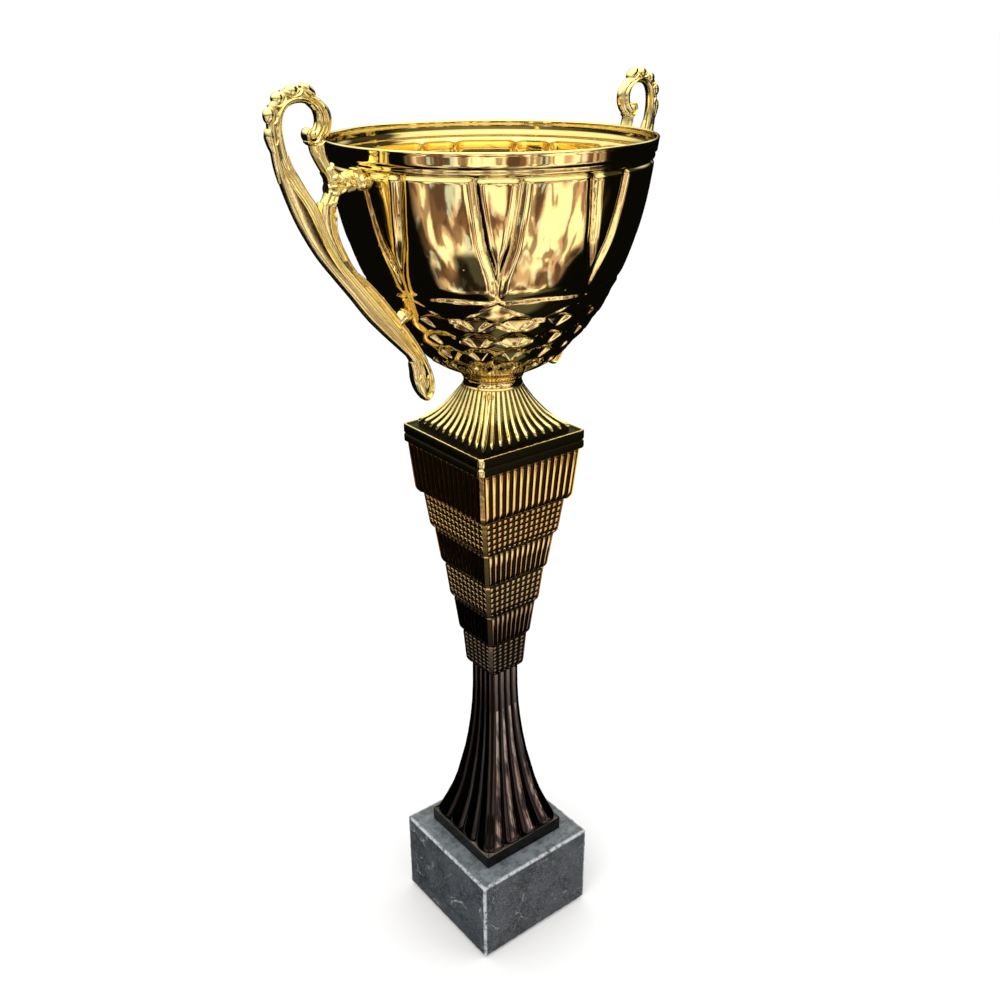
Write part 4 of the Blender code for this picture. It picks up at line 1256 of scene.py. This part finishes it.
class TROPHY_OT_base(bpy.types.Operator):
    """Builds the marble block"""
    bl_idname = "trophy.base"
    bl_label = "Marble base"

    def execute(self, context):
        build_base(context.scene.trophy_settings)
        return {"FINISHED"}


class TROPHY_OT_foot(bpy.types.Operator):
    """Builds the plinth and the reeded flare"""
    bl_idname = "trophy.foot"
    bl_label = "Reeded foot"

    def execute(self, context):
        build_foot()
        return {"FINISHED"}


class TROPHY_OT_tiers(bpy.types.Operator):
    """Builds the six ribbed and studded tiers"""
    bl_idname = "trophy.tiers"
    bl_label = "Stem tiers"

    def execute(self, context):
        build_tiers()
        return {"FINISHED"}


class TROPHY_OT_collar(bpy.types.Operator):
    """Builds the square collar and its ribbed flare"""
    bl_idname = "trophy.collar"
    bl_label = "Collar"

    def execute(self, context):
        build_collar()
        return {"FINISHED"}


class TROPHY_OT_neck(bpy.types.Operator):
    """Builds the ring under the cup"""
    bl_idname = "trophy.neck"
    bl_label = "Neck ring"

    def execute(self, context):
        build_neck()
        return {"FINISHED"}


class TROPHY_OT_cup(bpy.types.Operator):
    """Builds the pressed sheet cup"""
    bl_idname = "trophy.cup"
    bl_label = "Cup"

    def execute(self, context):
        build_cup(context.scene.trophy_settings)
        return {"FINISHED"}


class TROPHY_OT_handles(bpy.types.Operator):
    """Builds the two cast handles"""
    bl_idname = "trophy.handles"
    bl_label = "Handles"

    def execute(self, context):
        build_handles(context.scene.trophy_settings)
        return {"FINISHED"}


class TROPHY_OT_hardware(bpy.types.Operator):
    """Finishes the rod, nuts, washers, screws and felt pads"""
    bl_idname = "trophy.hardware"
    bl_label = "Hardware"

    def execute(self, context):
        finish_hardware()
        return {"FINISHED"}


class TROPHY_OT_stage(bpy.types.Operator):
    """Builds the floor and the light"""
    bl_idname = "trophy.stage"
    bl_label = "Stage"

    def execute(self, context):
        build_stage()
        return {"FINISHED"}


STEPS = [
    TROPHY_OT_camera, TROPHY_OT_base, TROPHY_OT_foot, TROPHY_OT_tiers, TROPHY_OT_collar,
    TROPHY_OT_neck, TROPHY_OT_cup, TROPHY_OT_handles, TROPHY_OT_hardware, TROPHY_OT_stage,
]


class TROPHY_PT_panel(bpy.types.Panel):
    """Lists the trophy's sizes and colours, and the steps that build it."""
    bl_label = "Cup Trophy"
    bl_space_type = "VIEW_3D"
    bl_region_type = "UI"
    bl_category = "Trophy"

    def draw(self, context):
        settings = context.scene.trophy_settings
        for key in settings.__annotations__:
            self.layout.prop(settings, key)
        for step in STEPS:
            self.layout.operator(step.bl_idname)


CLASSES = [TrophySettings] + STEPS + [TROPHY_PT_panel]


def register():
    for item in CLASSES:
        bpy.utils.register_class(item)
    bpy.types.Scene.trophy_settings = bpy.props.PointerProperty(type=TrophySettings)


def unregister():
    del bpy.types.Scene.trophy_settings
    for item in reversed(CLASSES):
        bpy.utils.unregister_class(item)


def main():
    register()
    bpy.ops.trophy.camera()
    bpy.ops.trophy.base()
    bpy.ops.trophy.foot()
    bpy.ops.trophy.tiers()
    bpy.ops.trophy.collar()
    bpy.ops.trophy.neck()
    bpy.ops.trophy.cup()
    bpy.ops.trophy.handles()
    bpy.ops.trophy.hardware()
    bpy.ops.trophy.stage()


if __name__ == "__main__":
    main()
